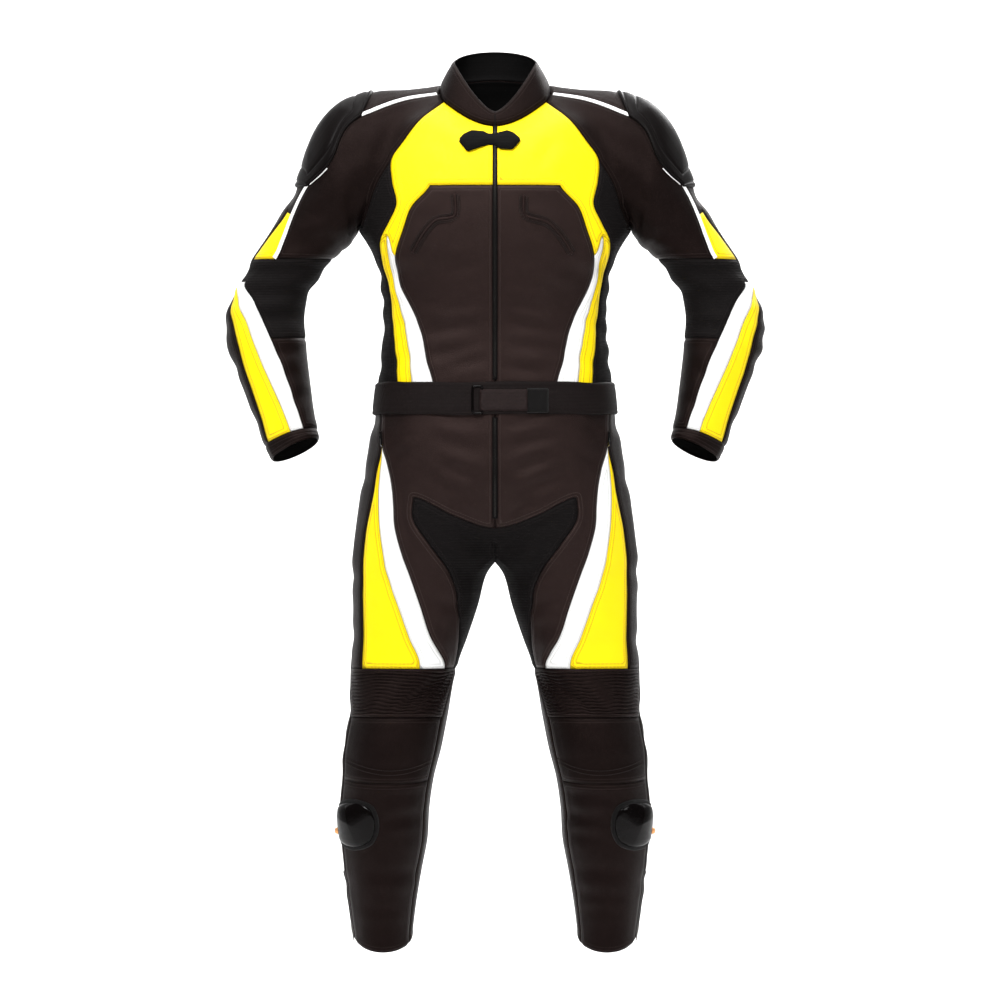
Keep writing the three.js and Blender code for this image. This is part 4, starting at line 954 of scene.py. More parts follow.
def fabric_weave():
    """Ribs and threads: two crossed waves by height and by x and y, and a loose tone."""
    sockets = {"Vector": None, "Rib pitch": 0.0035, "Thread pitch": 0.0016}
    group, given, out = new_group("Fabric weave", sockets, ["Height", "Tone"])
    x, y, z = put(group, "ShaderNodeSeparateXYZ", Vector=given["Vector"]).outputs
    wave, thread = (
        maths(group, "SINE", maths(group, "DIVIDE", maths(group, "MULTIPLY", place, 6.2832), given[pitch]))
        for place, pitch in ((z, "Rib pitch"), (maths(group, "ADD", x, y), "Thread pitch")))
    loose = put(group, "ShaderNodeTexNoise", Vector=given["Vector"], Scale=260.0, Detail=3.0).outputs["Fac"]
    both = maths(group, "ADD", maths(group, "MULTIPLY", wave, 0.5), maths(group, "MULTIPLY", thread, 0.22))
    feed(group, out["Height"], maths(group, "ADD", both, loose))
    feed(group, out["Tone"], loose)
    return group


def soft_wear():
    """Scuffs: patches of short scratches, denser where a slow noise is high."""
    group, given, out = new_group("Soft wear", {"Vector": None, "Amount": 0.5}, ["Mask"])
    slow = put(group, "ShaderNodeTexNoise", Vector=given["Vector"], Scale=18.0, Detail=3.0)
    fine = put(group, "ShaderNodeTexNoise", Vector=given["Vector"], Scale=420.0, Detail=4.0, Roughness=0.7,
               Distortion=1.2)
    patch, mark = (
        maths(group, "MULTIPLY", maths(group, "SUBTRACT", noise.outputs["Fac"], start), gain, clamp=True)
        for noise, start, gain in ((slow, 0.5, 4.0), (fine, 0.56, 6.0)))
    both = maths(group, "MULTIPLY", patch, mark)
    feed(group, out["Mask"], maths(group, "MULTIPLY", both, given["Amount"]))
    return group


def placed(tree, group, **values):
    """The outputs of one of the shader groups, put into a material."""
    return put(tree, "ShaderNodeGroup", node_tree=MADE[group], **values).outputs


def stitches(tree):
    """The rows of thread of a piece, and how far a place is from its seam."""
    seam, run = (put(tree, "ShaderNodeAttribute", attribute_name=name).outputs["Fac"]
                 for name in ("seam", "run"))
    rows = placed(tree, "stitches", Seam=seam, Run=run)
    return rows["Thread"], rows["Sunk"], seam


def new_material(name, **settings):
    """A material with one shader, whose sockets the settings give."""
    material = bpy.data.materials.new(name)
    material.use_nodes = True
    tree = material.node_tree
    tree.nodes.clear()
    shader = put(tree, "ShaderNodeBsdfPrincipled", **settings)
    put(tree, "ShaderNodeOutputMaterial", Surface=shader.outputs[0])
    return material, tree, shader, put(tree, "ShaderNodeTexCoord").outputs["Object"]


def shade(colour, factor=1):
    """A colour times a factor, with its alpha at 1."""
    return tuple(c * factor for c in colour[:3]) + (1.0,)


def surface(tree, shader, base, roughness, height, strength, distance):
    """Gives a shader its colour, roughness and bumps."""
    raised = put(tree, "ShaderNodeBump", Strength=strength, Distance=distance, Height=height)
    for socket, value in (("Base Color", base), ("Roughness", roughness), ("Normal", raised.outputs[0])):
        feed(tree, shader.inputs[socket], value)


def leather(name, colour, thread, roughness, tone, scuff, specular=0.2, wash=0.03, tint=(1, 0.68, 0.62, 1)):
    """Grained hide with two rows of thread along its seams, painted shade in the seam grooves and along the
    sunk stitch rows, and scuffed in places.
    """
    material, tree, shader, vector = new_material(name, Specular_IOR_Level=specular, Specular_Tint=tint)
    hide = placed(tree, "grain", Vector=vector, Grain_size=480.0)
    row, sunk, seam = stitches(tree)
    worn = placed(tree, "wear", Vector=vector, Amount=scuff)["Mask"]
    # Painted shade: the colour darkens sharply within 2 mm of a seam or hem, in the seam's groove
    near = maths(tree, "SUBTRACT", 1.0, maths(tree, "DIVIDE", seam, 2.0), clamp=True)
    deep = maths(tree, "MULTIPLY", near, 0.6)
    base = blend_colour(tree, hide["Tone"], shade(colour, 1 - tone), shade(colour, 1 + tone))
    # Scuffs are paler (wear); then painted shade in the seams and along the sunk stitch rows; then the
    # thread
    for share, over in ((worn, shade([min(1, c * 1.6 + wash) for c in colour[:3]])),
                        (deep, shade(colour, 0.18)),
                        (maths(tree, "MULTIPLY", sunk, 0.35), shade(colour, 0.45)), (row, shade(thread))):
        base = blend_colour(tree, share, base, over)
    rough = maths(tree, "ADD", maths(tree, "MULTIPLY", hide["Tone"], 0.22), roughness - 0.11)
    rough = maths(tree, "ADD", rough, maths(tree, "MULTIPLY", worn, 0.2))
    height = maths(tree, "SUBTRACT", hide["Height"], maths(tree, "MULTIPLY", sunk, 1.2))
    height = maths(tree, "ADD", height, maths(tree, "MULTIPLY", row, 1.4))
    surface(tree, shader, base, rough, height, 0.55, 0.0005)
    return material


def fabric(name, colour, roughness, rib, thread, strength, stitched=False, sheen=0.0):
    """Ribbed or woven cloth with a dull sheen."""
    material, tree, shader, vector = new_material(name, Sheen_Weight=sheen, Specular_IOR_Level=0.1)
    weave = placed(tree, "weave", Vector=vector, Rib_pitch=rib, Thread_pitch=thread)
    base = blend_colour(tree, weave["Tone"], shade(colour, 0.6), shade(colour, 1.5))
    height = weave["Height"]
    if stitched:
        row, sunk, _ = stitches(tree)
        base = blend_colour(tree, row, base, shade(colour, 2.6))
        height = maths(tree, "SUBTRACT", height, sunk)
    surface(tree, shader, base, roughness, height, strength, 0.0006)
    return material


def hard_plastic(name, colour, roughness, scuff, grain, specular):
    """Moulded plastic, finely textured, with scuffs that are duller and paler."""
    material, tree, shader, vector = new_material(name, Specular_IOR_Level=specular)
    worn = placed(tree, "wear", Vector=vector, Amount=scuff)["Mask"]
    skin = placed(tree, "grain", Vector=vector, Grain_size=grain, Unevenness=0.2)
    base = blend_colour(tree, skin["Tone"], shade(colour, 0.75), shade(colour, 1.3))
    base = blend_colour(tree, worn, base, shade([c + 0.012 for c in colour[:3]]))
    rough = maths(tree, "ADD", maths(tree, "MULTIPLY", worn, 0.4), roughness)
    surface(tree, shader, base, rough, skin["Height"], 0.12, 0.0004)
    return material


def metal(name, colour, roughness):
    """Cast metal, a little uneven in tone and worn."""
    material, tree, shader, vector = new_material(name, Metallic=1.0)
    worn = placed(tree, "wear", Vector=vector, Amount=0.6)["Mask"]
    skin = placed(tree, "grain", Vector=vector, Grain_size=900.0, Unevenness=0.3)
    base = blend_colour(tree, skin["Tone"], shade(colour, 0.8), shade(colour, 1.1))
    base = blend_colour(tree, worn, base, shade(colour, 0.5))
    rough = maths(tree, "ADD", maths(tree, "MULTIPLY", worn, 0.3), roughness)
    surface(tree, shader, base, rough, skin["Height"], 0.08, 0.0003)
    return material


def make_finishes():
    """The shader groups, then each material by the name that pieces ask for it by."""
    MADE.update(grain=leather_grain(), stitches=stitch_rows(), weave=fabric_weave(), wear=soft_wear())
    tone = bpy.context.scene.suit_colours
    yellow_thread, white_thread = (0.5, 0.3, 0.01), (0.6, 0.6, 0.57)
    MADE.update(
        black_leather=leather("Black leather", tone.black, tone.thread, 0.5, 0.3, 0.45),
        # Painted shade: a darker copy of the black leather, with darker thread, for the panels that lie in
        # shade
        deep_leather=leather("Black leather, painted shade", shade(tone.black, 0.35), shade(tone.thread, 0.5), 0.5,
                             0.3, 0.3, 0.1, 0.008),
        yellow_leather=leather("Yellow leather", tone.yellow, yellow_thread, 0.46, 0.06, 0.1),
        white_leather=leather("White leather", tone.white, white_thread, 0.46, 0.05, 0.1, tint=(1, 1, 1, 1)),
        # Painted shade: the knee pleats take a darker copy of the black leather
        pleats=leather("Pleated leather, painted shade", shade(tone.black, 0.45), tone.thread, 0.5, 0.3, 0.45, 0.12, 0.01),
        stretch_cloth=fabric("Stretch cloth", tone.stretch, 0.82, 0.0042, 0.0018, 0.6, True),
        lining=fabric("Lining", tone.lining, 0.9, 0.0024, 0.0024, 0.3),
        webbing=fabric("Belt webbing", shade(tone.black, 0.75), 0.7, 0.0022, 0.0022, 0.7),
        strap=fabric("Strap webbing", shade(tone.black, 1.7), 0.6, 0.0022, 0.0022, 0.7),
        hook=fabric("Hook pad", shade(tone.stretch, 0.7), 0.9, 0.0012, 0.0012, 0.9, sheen=0.08),
        tape=fabric("Zip tape", shade(tone.stretch, 0.9), 0.8, 0.0014, 0.001, 0.4),
        cup=hard_plastic("Cup plastic", tone.plastic, 0.42, 0.5, 620.0, 0.05),
        puck=hard_plastic("Slider plastic", shade(tone.plastic, 0.6), 0.1, 0.3, 260.0, 0.09),
        thread=hard_plastic("Thread", shade(tone.thread, 0.7), 0.7, 0.0, 1500.0, 0.14),
        metal=metal("Zip metal", tone.metal, 0.3),
        teeth=metal("Zip teeth", shade(tone.metal, 0.16), 0.42),
        copper=metal("Stud", (0.62, 0.3, 0.12), 0.3),
    )


# Trims
BELT_RINGS = np.array([[-452.5, 188], [-460, 189], [-477.5, 191], [-495, 192.7], [-502.5, 193.4]])
BELT_FRONT, BELT_REAR = 116, 103
TAB_TOP = np.array([[-56, -65.6], [-49, -57], [-36.8, -51.4], [-19.2, -52.8], [-10.4, -57.2], [0, -56.6],
                    [19.2, -51.4], [28, -54.5], [39.2, -64.6]])
TAB_LOW = np.array([[-56, -66.6], [-43.2, -83], [-28, -77.5], [-12.8, -72.4], [-2.4, -72.4], [10.4, -79.2],
                    [27.2, -79.6], [39.2, -65.6]])
WELTS = {
    "left": np.array([[46, -154], [47, -184], [54, -189], [84, -198], [106, -220], [124, -248]]),
    "right": np.array([[-64, -152], [-64, -186], [-72, -190], [-94, -194], [-112, -212], [-132, -246]]),
}


def belt_front(x, z):
    """Depth of the belt's front at x and z: y = -front (1 - (x / half)^n)^(1/n)."""
    half = np.interp(-np.asarray(z, float), -BELT_RINGS[:, 0], BELT_RINGS[:, 1])
    return -BELT_FRONT * (1 - np.abs(x / half) ** ROUNDNESS) ** (1 / ROUNDNESS)


def build_belt():
    """The band: a ring whose section is a flat strip with rounded edges and a slight wave in its height."""
    turn = np.linspace(0, 360, 240, endpoint=False)
    angle = np.where(turn > 180, 360 - turn, turn)
    height = np.concatenate([np.linspace(-451.5, -503.5, 22), np.linspace(-503.5, -451.5, 22)])
    half = np.interp(-height, -BELT_RINGS[:, 0], BELT_RINGS[:, 1])
    edge = np.minimum(-451.5 - height, height + 503.5)
    outer = np.arange(44) < 22
    swell = np.where(outer, 3.4 * np.sqrt(np.clip(edge / 3, 0, 1)) + 0.4, 0.4)
    swell = swell - np.where(outer, 0.7 * np.exp(-(((edge - 7) / 1.3) ** 2)), 0)
    x, y = np.broadcast_arrays(*on_ring(half[None], BELT_FRONT, BELT_REAR, angle[:, None]))
    x = x * np.where(turn > 180, -1, 1)[:, None]
    out = unit(np.stack([x / 190, y / 110, 0 * x], -1))
    drift = 0.8 * np.sin(np.radians(turn) * 5)[:, None] + 0.5 * np.sin(np.radians(turn) * 11 + 1)[:, None]
    z = height[None] + drift * np.ones_like(x)
    wave = 0.5 * np.sin(np.radians(turn) * 7)[:, None] ** 2
    points = np.stack([x, y, z], -1) + out * (swell[None] + wave)[..., None]
    points = points.reshape(-1, 3)
    faces = [grid_faces(240, 44, True, True)]
    return new_object("waist_belt", points, turned_out(points, faces), ["waist_belt"],
                      attributes={"seam": np.tile(np.where(outer, edge - 3.5, 60.0), 240),
                                  "run": np.repeat(np.arange(240.0) * 1.6, 44)},
                      materials=[MADE["webbing"]])


def strip(name, x, top, low, lift, thick, material, nodes, wave):
    """A flat strip over the front of the belt, its edges rounded and its face a little uneven."""
    u, v = np.meshgrid(np.linspace(x[0], x[1], 60), np.linspace(0, 1, 24), indexing="ij")
    z = mix(top, low, v)
    edge = np.minimum(np.minimum(u - x[0], x[1] - u), np.minimum(v, 1 - v) * abs(top - low))
    rise = lift + thick * np.sqrt(np.clip(edge / 2.5, 0, 1)) + wave * np.sin(u * 0.13) * np.sin(3 * v)
    y = belt_front(u, z) - rise
    points = np.stack([u, y, z], -1).reshape(-1, 3)
    band = new_object(name, points, [grid_faces(60, 24)], nodes, materials=[material])
    walled(band, thick)


def build_strap():
    """The pull-through strap: it goes over the loop's bar, and its end is pressed on the belt."""
    strip("belt_strap", (-23, 51), -465, -497, 3.6, 2.2, MADE["strap"], ["belt_strap"], 0.5)
    strip("belt_strap_hook", (52, 84), -463, -500, 3.2, 1.8, MADE["hook"], (), 0.4)


def build_loop():
    """The loop's rounded oblong ring, its bar section half round."""
    t = np.linspace(0, 2 * np.pi, 96, endpoint=False)
    x = -28 + 8.0 * np.sign(np.cos(t)) * np.abs(np.cos(t)) ** 0.35
    z = -480 + 21.5 * np.sign(np.sin(t)) * np.abs(np.sin(t)) ** 0.28
    path = np.stack([x, belt_front(x, z) - 3.4, z], 1)
    up = np.tile([0.0, -1.0, 0.0], (96, 1))
    side = unit(np.cross(unit(np.roll(path, -1, 0) - np.roll(path, 1, 0)), up))
    swept("belt_loop", path, side, up, half_round(4.4, 3.2), MADE["puck"],
          ["belt_loop"], True)


def build_body_zips():
    """The front zip, set a little forward, the line where the collar's ends meet and the fly zip."""
    line = track("jacket", "left", np.linspace(0.06, 12.9, 300), 0)
    line[0][:, 1] -= 0.6
    build_zip("front_zip", line, 7.6, nodes=["front_zip"], teeth="teeth")
    build_zip("collar_meeting", track("collar", "left", np.linspace(0.12, 1.95, 24), 0), 3.2, rise=1.0)
    build_zip("fly_zip", track("trousers", "left", np.linspace(1.15, 5.55, 120), 0), 8, nodes=["fly_zip"],
              teeth="teeth", tooth=(3.2, 1.8))


def build_collar_tab():
    """The tab: its outline between a top and a bottom line, puffed, over the meeting ends of the collar."""
    depth = front_depth(["chest_left", "chest_right", "collar"], (-70, -110), (55, -30), 4)
    x = np.linspace(-55.5, 38.8, 90)
    top = np.interp(x, *TAB_TOP.T)
    low = np.interp(x, *TAB_LOW.T)
    for line in (top, low):
        line[1:-1] = np.convolve(line, [0.25, 0.5, 0.25], "valid")
    v = np.linspace(0, 1, 28)[None]
    u = x[:, None] + 0 * v
    z = mix(top[:, None], low[:, None], v)
    edge = np.minimum(np.minimum(v, 1 - v) * (top - low)[:, None], np.minimum(u + 56, 39.4 - u))
    waist = np.exp(-(((u + 7) / 9) ** 2))
    rise = 2.6 + 3.2 * np.sqrt(np.clip(edge / 7, 0, 1)) - 1.6 * waist
    points = np.stack([u, depth(u, z) - rise, z], -1).reshape(-1, 3)
    piece = new_object("collar_tab", points, [grid_faces(90, 28)], ["collar_tab"],
                       attributes={"seam": edge.reshape(-1), "run": u.reshape(-1) / 3},
                       materials=[MADE["black_leather"], MADE["lining"]])
    walled(piece, 2.2, True)


def build_piping(side):
    """The white welt along the armhole's front seam: half round, its ends tucked in."""
    place, normal, _, across = track("sleeve", side, np.linspace(0.1, 8.95, 260), 1)
    swept("piping_" + side, place - normal * 0.4, across, normal, half_round(7.2, 2.6),
          MADE["white_leather"], ["piping_" + side])


CUP = dict(row=4.15, column=-0.72, rows=2.1, columns=2.2, square=0.6)
SLIDER = dict(row=16.5, column=6, rows=0.78, columns=1.36, square=0.9)
PAD = dict(row=16.5, column=6, rows=0.9, columns=1.62, square=0.9)
STUD = dict(row=16.74, column=7.12, rows=0.12, columns=0.2, square=1.0)
# Heights as (share of the way to the edge, height)
CUP_RISE = [(0, 10), (0.3, 9.5), (0.5, 8.3), (0.62, 6.9), (0.69, 5.6), (0.71, 4.2), (0.73, 4.2), (0.75, 5.2),
            (0.84, 5.0), (0.9, 4.5), (0.915, 3.2), (0.935, 3.2), (0.95, 4.4),
            (0.975, 4.6), (0.99, 3.6), (1, 1.6)]
SLIDER_RISE = [(0, 13), (0.4, 12.9), (0.66, 12.4), (0.8, 11.4), (0.9, 9.6), (0.96, 7.2), (0.985, 5.4),
               (1, 3.2)]
PAD_RISE = [(0, 2.2), (0.8, 2.2), (0.93, 2.4), (0.97, 2.0), (1, 0.8)]
STUD_RISE = [(0, 11.2), (0.5, 10.6), (0.85, 9), (1, 6)]


def build_cup(side):
    """The cup and the white edging along the lower part of its front edge."""
    shell_piece("shoulder_cup_" + side, "sleeve", side, CUP_RISE, "hard_plastic", MADE["cup"],
                ["shoulder_cup_" + side], rings=64, around=120, **CUP)
    phi = np.linspace(0.2, 0.72, 60)
    big = np.maximum(np.cos(phi), np.sin(phi))
    a, b = np.cos(phi) / big, np.sin(phi) / big
    row = CUP["row"] + (CUP["rows"] + 0.04) * b * np.sqrt(1 - CUP["square"] / 2 * a**2)
    column = CUP["column"] + (CUP["columns"] + 0.04) * a * np.sqrt(1 - CUP["square"] / 2 * b**2)
    place, normal, _, across = track("sleeve", side, row, column)
    swept("cup_edging_" + side, place - normal * 0.3, across, normal, half_round(2.0, 1.6),
          MADE["white_leather"])


def build_slider(side):
    """A glossy rubbing block on a hook-faced pad, with a small stud at its outer edge."""
    shell_piece("knee_slider_" + side, "trousers", side, SLIDER_RISE, "hard_plastic", MADE["puck"],
                ["knee_slider_" + side], rings=36, around=120,
                facets=[(0.9, 0.25, 0.02, 7), (-0.55, 0.8, 0.08, 6.5), (-0.35, -0.9, 0.05, 8)], **SLIDER)
    shell_piece("knee_slider_pad_" + side, "trousers", side, PAD_RISE, "hard_plastic", MADE["hook"],
                rings=14, **PAD)
    shell_piece("knee_stud_" + side, "trousers", side, STUD_RISE, "metal", MADE["copper"], rings=10,
                around=40, **STUD)


def build_ankle(side):
    """The ankle zip with its teeth and the slider the pull hangs from: a body between two lugs."""
    build_zip("ankle_zip_" + side, track("trousers", side, np.linspace(18.12, 20.85, 110), 7.5), 8,
              nodes=["ankle_zip_" + side], teeth="metal", tooth=(3.4, 1.9))
    # along, across and away from the leg, then the sizes that way
    middle = np.array([[7.2, 0, -0.8], [0.7, -2.65, -0.3], [0.7, 2.65, -0.3]])
    size = np.array([[9, 7, 3.6], [6, 1.2, 3], [6, 1.2, 3]])
    frame_of = np.array([PULL_UP, [0, 1, 0], PULL_AWAY])
    up, across, away = np.repeat(frame_of[:, None], 3, 1)
    points, faces = blocks(PULL_PLACE + middle @ frame_of, up, across, away, size)
    points = points * (MIRROR if side == "right" else 1)
    slider = new_object("ankle_zip_slider_" + side, points, turned_out(points, faces),
                        materials=[MADE["metal"]], smooth=False)
    edge = slider.modifiers.new("Edges", "BEVEL")
    edge.width, edge.segments = 0.0005, 2


PULL_PLACE = np.array([229.624, 32.279, -1332.167])
PULL_UP, PULL_AWAY = np.array([0.1602, 0, 0.9871]), np.array([0.9871, 0, -0.1602])
PULL_OUTLINE = np.array([[0, 0.9], [1.4, 0.7], [1.65, -0.5], [1.65, -3.4], [3.2, -5.4], [3.9, -7.5],
                         [3.95, -12.6], [3.0, -15.4], [1.6, -16.7], [0, -17]])


def build_pull(side):
    """The flat pull: an outline with a slot in it, its edges rounded, hung between the slider's lugs."""
    outline = through(PULL_OUTLINE, 6)
    outline = np.concatenate([outline, outline[-2:0:-1] * [-1, 1]])
    count = len(outline)
    t = np.linspace(0, 2 * np.pi, count, endpoint=False)
    slot = np.stack([2.1 * np.sin(t), -11.8 + 3.0 * np.cos(t)], 1)
    small = outline - (outline - outline.mean(0)) * 0.35 / 8
    flat = np.stack([small, outline, outline, small, slot, slot])
    away = np.array([-0.78, -0.4, 0.4, 0.78, 0.78, -0.78])
    points = (PULL_PLACE + flat[..., :1] * [0, 1, 0] + flat[..., 1:] * PULL_UP
              + away[:, None, None] * PULL_AWAY)
    points = points.reshape(-1, 3) * (MIRROR if side == "right" else 1)
    faces = [grid_faces(len(away), count, True, True)]
    return new_object("ankle_pull_" + side, points, turned_out(points, faces),
                      ["ankle_pull_" + side],
                      "pull_" + side, materials=[MADE["metal"]])


def build_welt(side):
    """The piped seam on the front body with a row of thread on either side."""
    low, high = ((20, -300), (170, -130)) if side == "left" else ((-170, -300), (-20, -130))
    depth = front_depth(["front_body_" + side, "chest_" + side], low, high, 5)
    x, z = through(WELTS[side], 14).T
    place = np.stack([x, depth(x, z) - 1.2, z], 1)
    along = unit(np.gradient(place, axis=0))
    step = 0.1
    normal = unit(np.stack([(depth(x + step, z) - depth(x, z)) / step, -np.ones(len(x)),
                            (depth(x, z + step) - depth(x, z)) / step], 1))
    across = unit(np.cross(normal, along))
    swept("front_welt_" + side, place, across, normal, half_round(4.2, 1.5, 8, 1.8),
          MADE["black_leather"])
    centre, run, over, out = at_steps(3.4, 3, place, along, across, normal)
    off = np.repeat([-6.5, -4.2, 4.2, 6.5], len(centre))[:, None]
    centre, run, over, out = (np.tile(values, (4, 1)) for values in (centre, run, over, out))
    points, faces = blocks(centre + over * off + out * 0.6, run, over, out, [2.5, 0.7, 1.6])
    new_object("front_welt_thread_" + side, points, faces, materials=[MADE["thread"]])


def build_knee_thread(side):
    """Two arcs of thread below the knee panel, where its padding is sewn down."""
    column = np.linspace(1.1, 6.9, 400)
    arch = 0.34 * (1 - ((column - 4) / 3) ** 2)
    rows = [at_steps(3.6, 2, *track("trousers", side, row + arch, column)[:3])
            for row in (14.25, 14.38)]
    centre, out, run = (np.concatenate(values) for values in zip(*rows))
    points, faces = blocks(centre + out * 0.7, run, unit(np.cross(out, run)), out, [2.6, 0.7, 1.2])
    new_object("knee_thread_" + side, points, faces, materials=[MADE["thread"]])


RIBS, RIB_ROWS = 14, 8


def build_accordion(side):
    """Pleats across the knee: the rise goes as 2.8 |sin(pi n t)| over the panel's height, finely sampled."""
    rows, columns = RIBS * RIB_ROWS + 1, 6 * N + 1
    t, c = np.meshgrid(np.linspace(0, 1, rows), np.linspace(1, 7, columns), indexing="ij")
    place, normal = cloth().at("trousers", side, 12 + t, c)
    wander = 0.05 * np.sin(c * 2.1 + (1 if side == "left" else 2.4)) + 0.02 * np.sin(c * 7)
    ease = np.clip(np.minimum(t, 1 - t) * 18, 0, 1) * np.clip(np.minimum(c - 1, 7 - c) * 5, 0.15, 1)
    wave = np.abs(np.sin(np.pi * RIBS * (t + wander * t * (1 - t) * 4)))
    rise = (3.2 * wave**0.8 - 1.2) * ease
    seam = np.minimum(np.minimum(t, 1 - t) * 74, np.minimum(c - 1, 7 - c) * 22)
    points = (place + normal * rise[..., None]).reshape(-1, 3)
    name = "knee_accordion_" + side
    quads = grid_faces(rows, columns)
    outward = np.cross(points[columns] - points[0], points[1] - points[0]) @ normal[0, 0] > 0
    # The pleats' leather is the darker, shade-painted copy
    piece = new_object(name, points, [quads if outward else quads[:, ::-1]], [name],
                       attributes={"seam": seam.reshape(-1) + 3.5, "run": c.reshape(-1) * N},
                       materials=[MADE["pleats"], MADE["lining"]])
    walled(piece, 1.6, True)


BOTH = ("_left", "_right")
PANELS = {
    "jacket front": [base + side for base in (
        "chest", "front_body", "side_white", "side_yellow", "side_stretch") for side in BOTH],
    "jacket back": ["back", "collar"],
    "sleeves": [base + side for side in BOTH for base in (
        "sleeve_front", "sleeve_back", "upper_arm_yellow", "elbow_stretch", "forearm_white",
        "forearm_yellow", "forearm_front", "cuff")],
    "trousers": ["crotch_stretch", "seat"] + [base + side for side in BOTH for base in (
        "thigh_front", "thigh_white", "thigh_yellow", "leg_back", "knee", "shin")],
}


def build_panels(group):
    """Builds every panel of a group."""
    for name in PANELS[group]:
        build_panel(name)


def colour_setting(name, description, *value):
    """A colour property with its default."""
    return bpy.props.FloatVectorProperty(name=name, description=description, default=value, size=3, min=0.0,
                                         max=1.0, subtype="COLOR")


class SuitSizes(bpy.types.PropertyGroup):
    """How the cloth lies: its thickness, its creases and its seams."""

    leather_thickness: bpy.props.FloatProperty(
        name="Leather thickness", description="Thickness of the leather and stretch panels", default=0.0018,
        min=0.001, max=0.004, unit="LENGTH")
    crease_strength: bpy.props.FloatProperty(
        name="Crease strength", description="Factor on the depth of every crease", default=1.0,
        min=0.0, max=2.0,
        subtype="FACTOR")
    seam_depth: bpy.props.FloatProperty(
        name="Seam depth", description="How far panel edges turn down into their seams", default=0.0013,
        min=0.0, max=0.004, unit="LENGTH")


class SuitColours(bpy.types.PropertyGroup):
    """The colours of the materials."""

    black: colour_setting("Black leather", "Colour of the black hide", 0.0068, 0.0038, 0.0036)
    yellow: colour_setting("Yellow leather", "Colour of the yellow hide", 0.95, 0.7, 0.002)
    white: colour_setting("White leather", "Colour of the white hide", 0.9, 0.9, 0.89)
    stretch: colour_setting("Stretch cloth", "Colour of the ribbed stretch cloth and webbing", 0.003, 0.0022,
                            0.0022)
    lining: colour_setting("Lining", "Colour of the inside", 0.002, 0.0018, 0.0018)
    plastic: colour_setting("Hard parts", "Colour of the cups and sliders", 0.0035, 0.0026, 0.0026)
    metal: colour_setting("Zip metal", "Colour of the zip pulls and teeth", 0.2, 0.19, 0.18)
    thread: colour_setting("Thread", "Colour of the sewing thread", 0.03, 0.022, 0.02)
    backdrop: colour_setting("Backdrop", "Colour of the floor and the wall behind", 0.93, 0.93, 0.93)


class SUIT_OT_finishes(bpy.types.Operator):
    """Make the shader groups and materials."""

    bl_idname = "suit.finishes"
    bl_label = "Finishes"

    def execute(self, context):
        make_finishes()
        return {"FINISHED"}


class SUIT_OT_jacket_front(bpy.types.Operator):
    """Build the chest, front body and side panels."""

    bl_idname = "suit.jacket_front"
    bl_label = "Jacket front"

    def execute(self, context):
        build_panels("jacket front")
        return {"FINISHED"}


class SUIT_OT_jacket_back(bpy.types.Operator):
    """Build the back and the collar."""

    bl_idname = "suit.jacket_back"
    bl_label = "Jacket back and collar"

    def execute(self, context):
        build_panels("jacket back")
        return {"FINISHED"}


class SUIT_OT_sleeves(bpy.types.Operator):
    """Build the panels of both sleeves and their white welts."""

    bl_idname = "suit.sleeves"
    bl_label = "Sleeves"

    def execute(self, context):
        build_panels("sleeves")
        for side, _ in SIDES:
            build_piping(side)
        return {"FINISHED"}


class SUIT_OT_trousers(bpy.types.Operator):
    """Build the hips and legs with the pleated panels above the knees."""

    bl_idname = "suit.trousers"
    bl_label = "Trousers"

    def execute(self, context):
        build_panels("trousers")
        for side, _ in SIDES:
            build_accordion(side)
        return {"FINISHED"}


class SUIT_OT_waist(bpy.types.Operator):
    """Build the belt with its strap and loop."""

    bl_idname = "suit.waist"
    bl_label = "Waist belt"

    def execute(self, context):
        build_belt()
        build_strap()
        build_loop()
        return {"FINISHED"}


class SUIT_OT_closures(bpy.types.Operator):
    """Build the zips and the collar tab."""

    bl_idname = "suit.closures"
    bl_label = "Zips and tab"

    def execute(self, context):
        build_body_zips()
        build_collar_tab()
        for side, _ in SIDES:
            build_ankle(side)
            build_pull(side)
        return {"FINISHED"}


class SUIT_OT_hard_parts(bpy.types.Operator):
    """Build the shoulder cups and knee sliders."""

    bl_idname = "suit.hard_parts"
    bl_label = "Cups and sliders"

    def execute(self, context):
        for side, _ in SIDES:
            build_cup(side)
            build_slider(side)
        return {"FINISHED"}


class SUIT_OT_sewing(bpy.types.Operator):
    """Build the raised seams and rows of thread."""

    bl_idname = "suit.sewing"
    bl_label = "Raised sewing"

    def execute(self, context):
        for side, _ in SIDES:
            build_welt(side)
            build_knee_thread(side)
        return {"FINISHED"}


class SUIT_OT_stage(bpy.types.Operator):
    """Set up the backdrop, the studio lights, the world and the camera."""

    bl_idname = "suit.stage"
    bl_label = "Stage"

    def execute(self, context):
        build_stage(context.scene)
        return {"FINISHED"}


FLOOR, WALL_START, BEND, WALL_TOP, HALF_WALL = -1.462, 1.2, 1.2, 4.5, 14.0
SUIT_MIDDLE, WALL_MIDDLE = (0, 0, -0.64), (0, 2.4, -0.5)
WORLD_LIGHT = 0.12
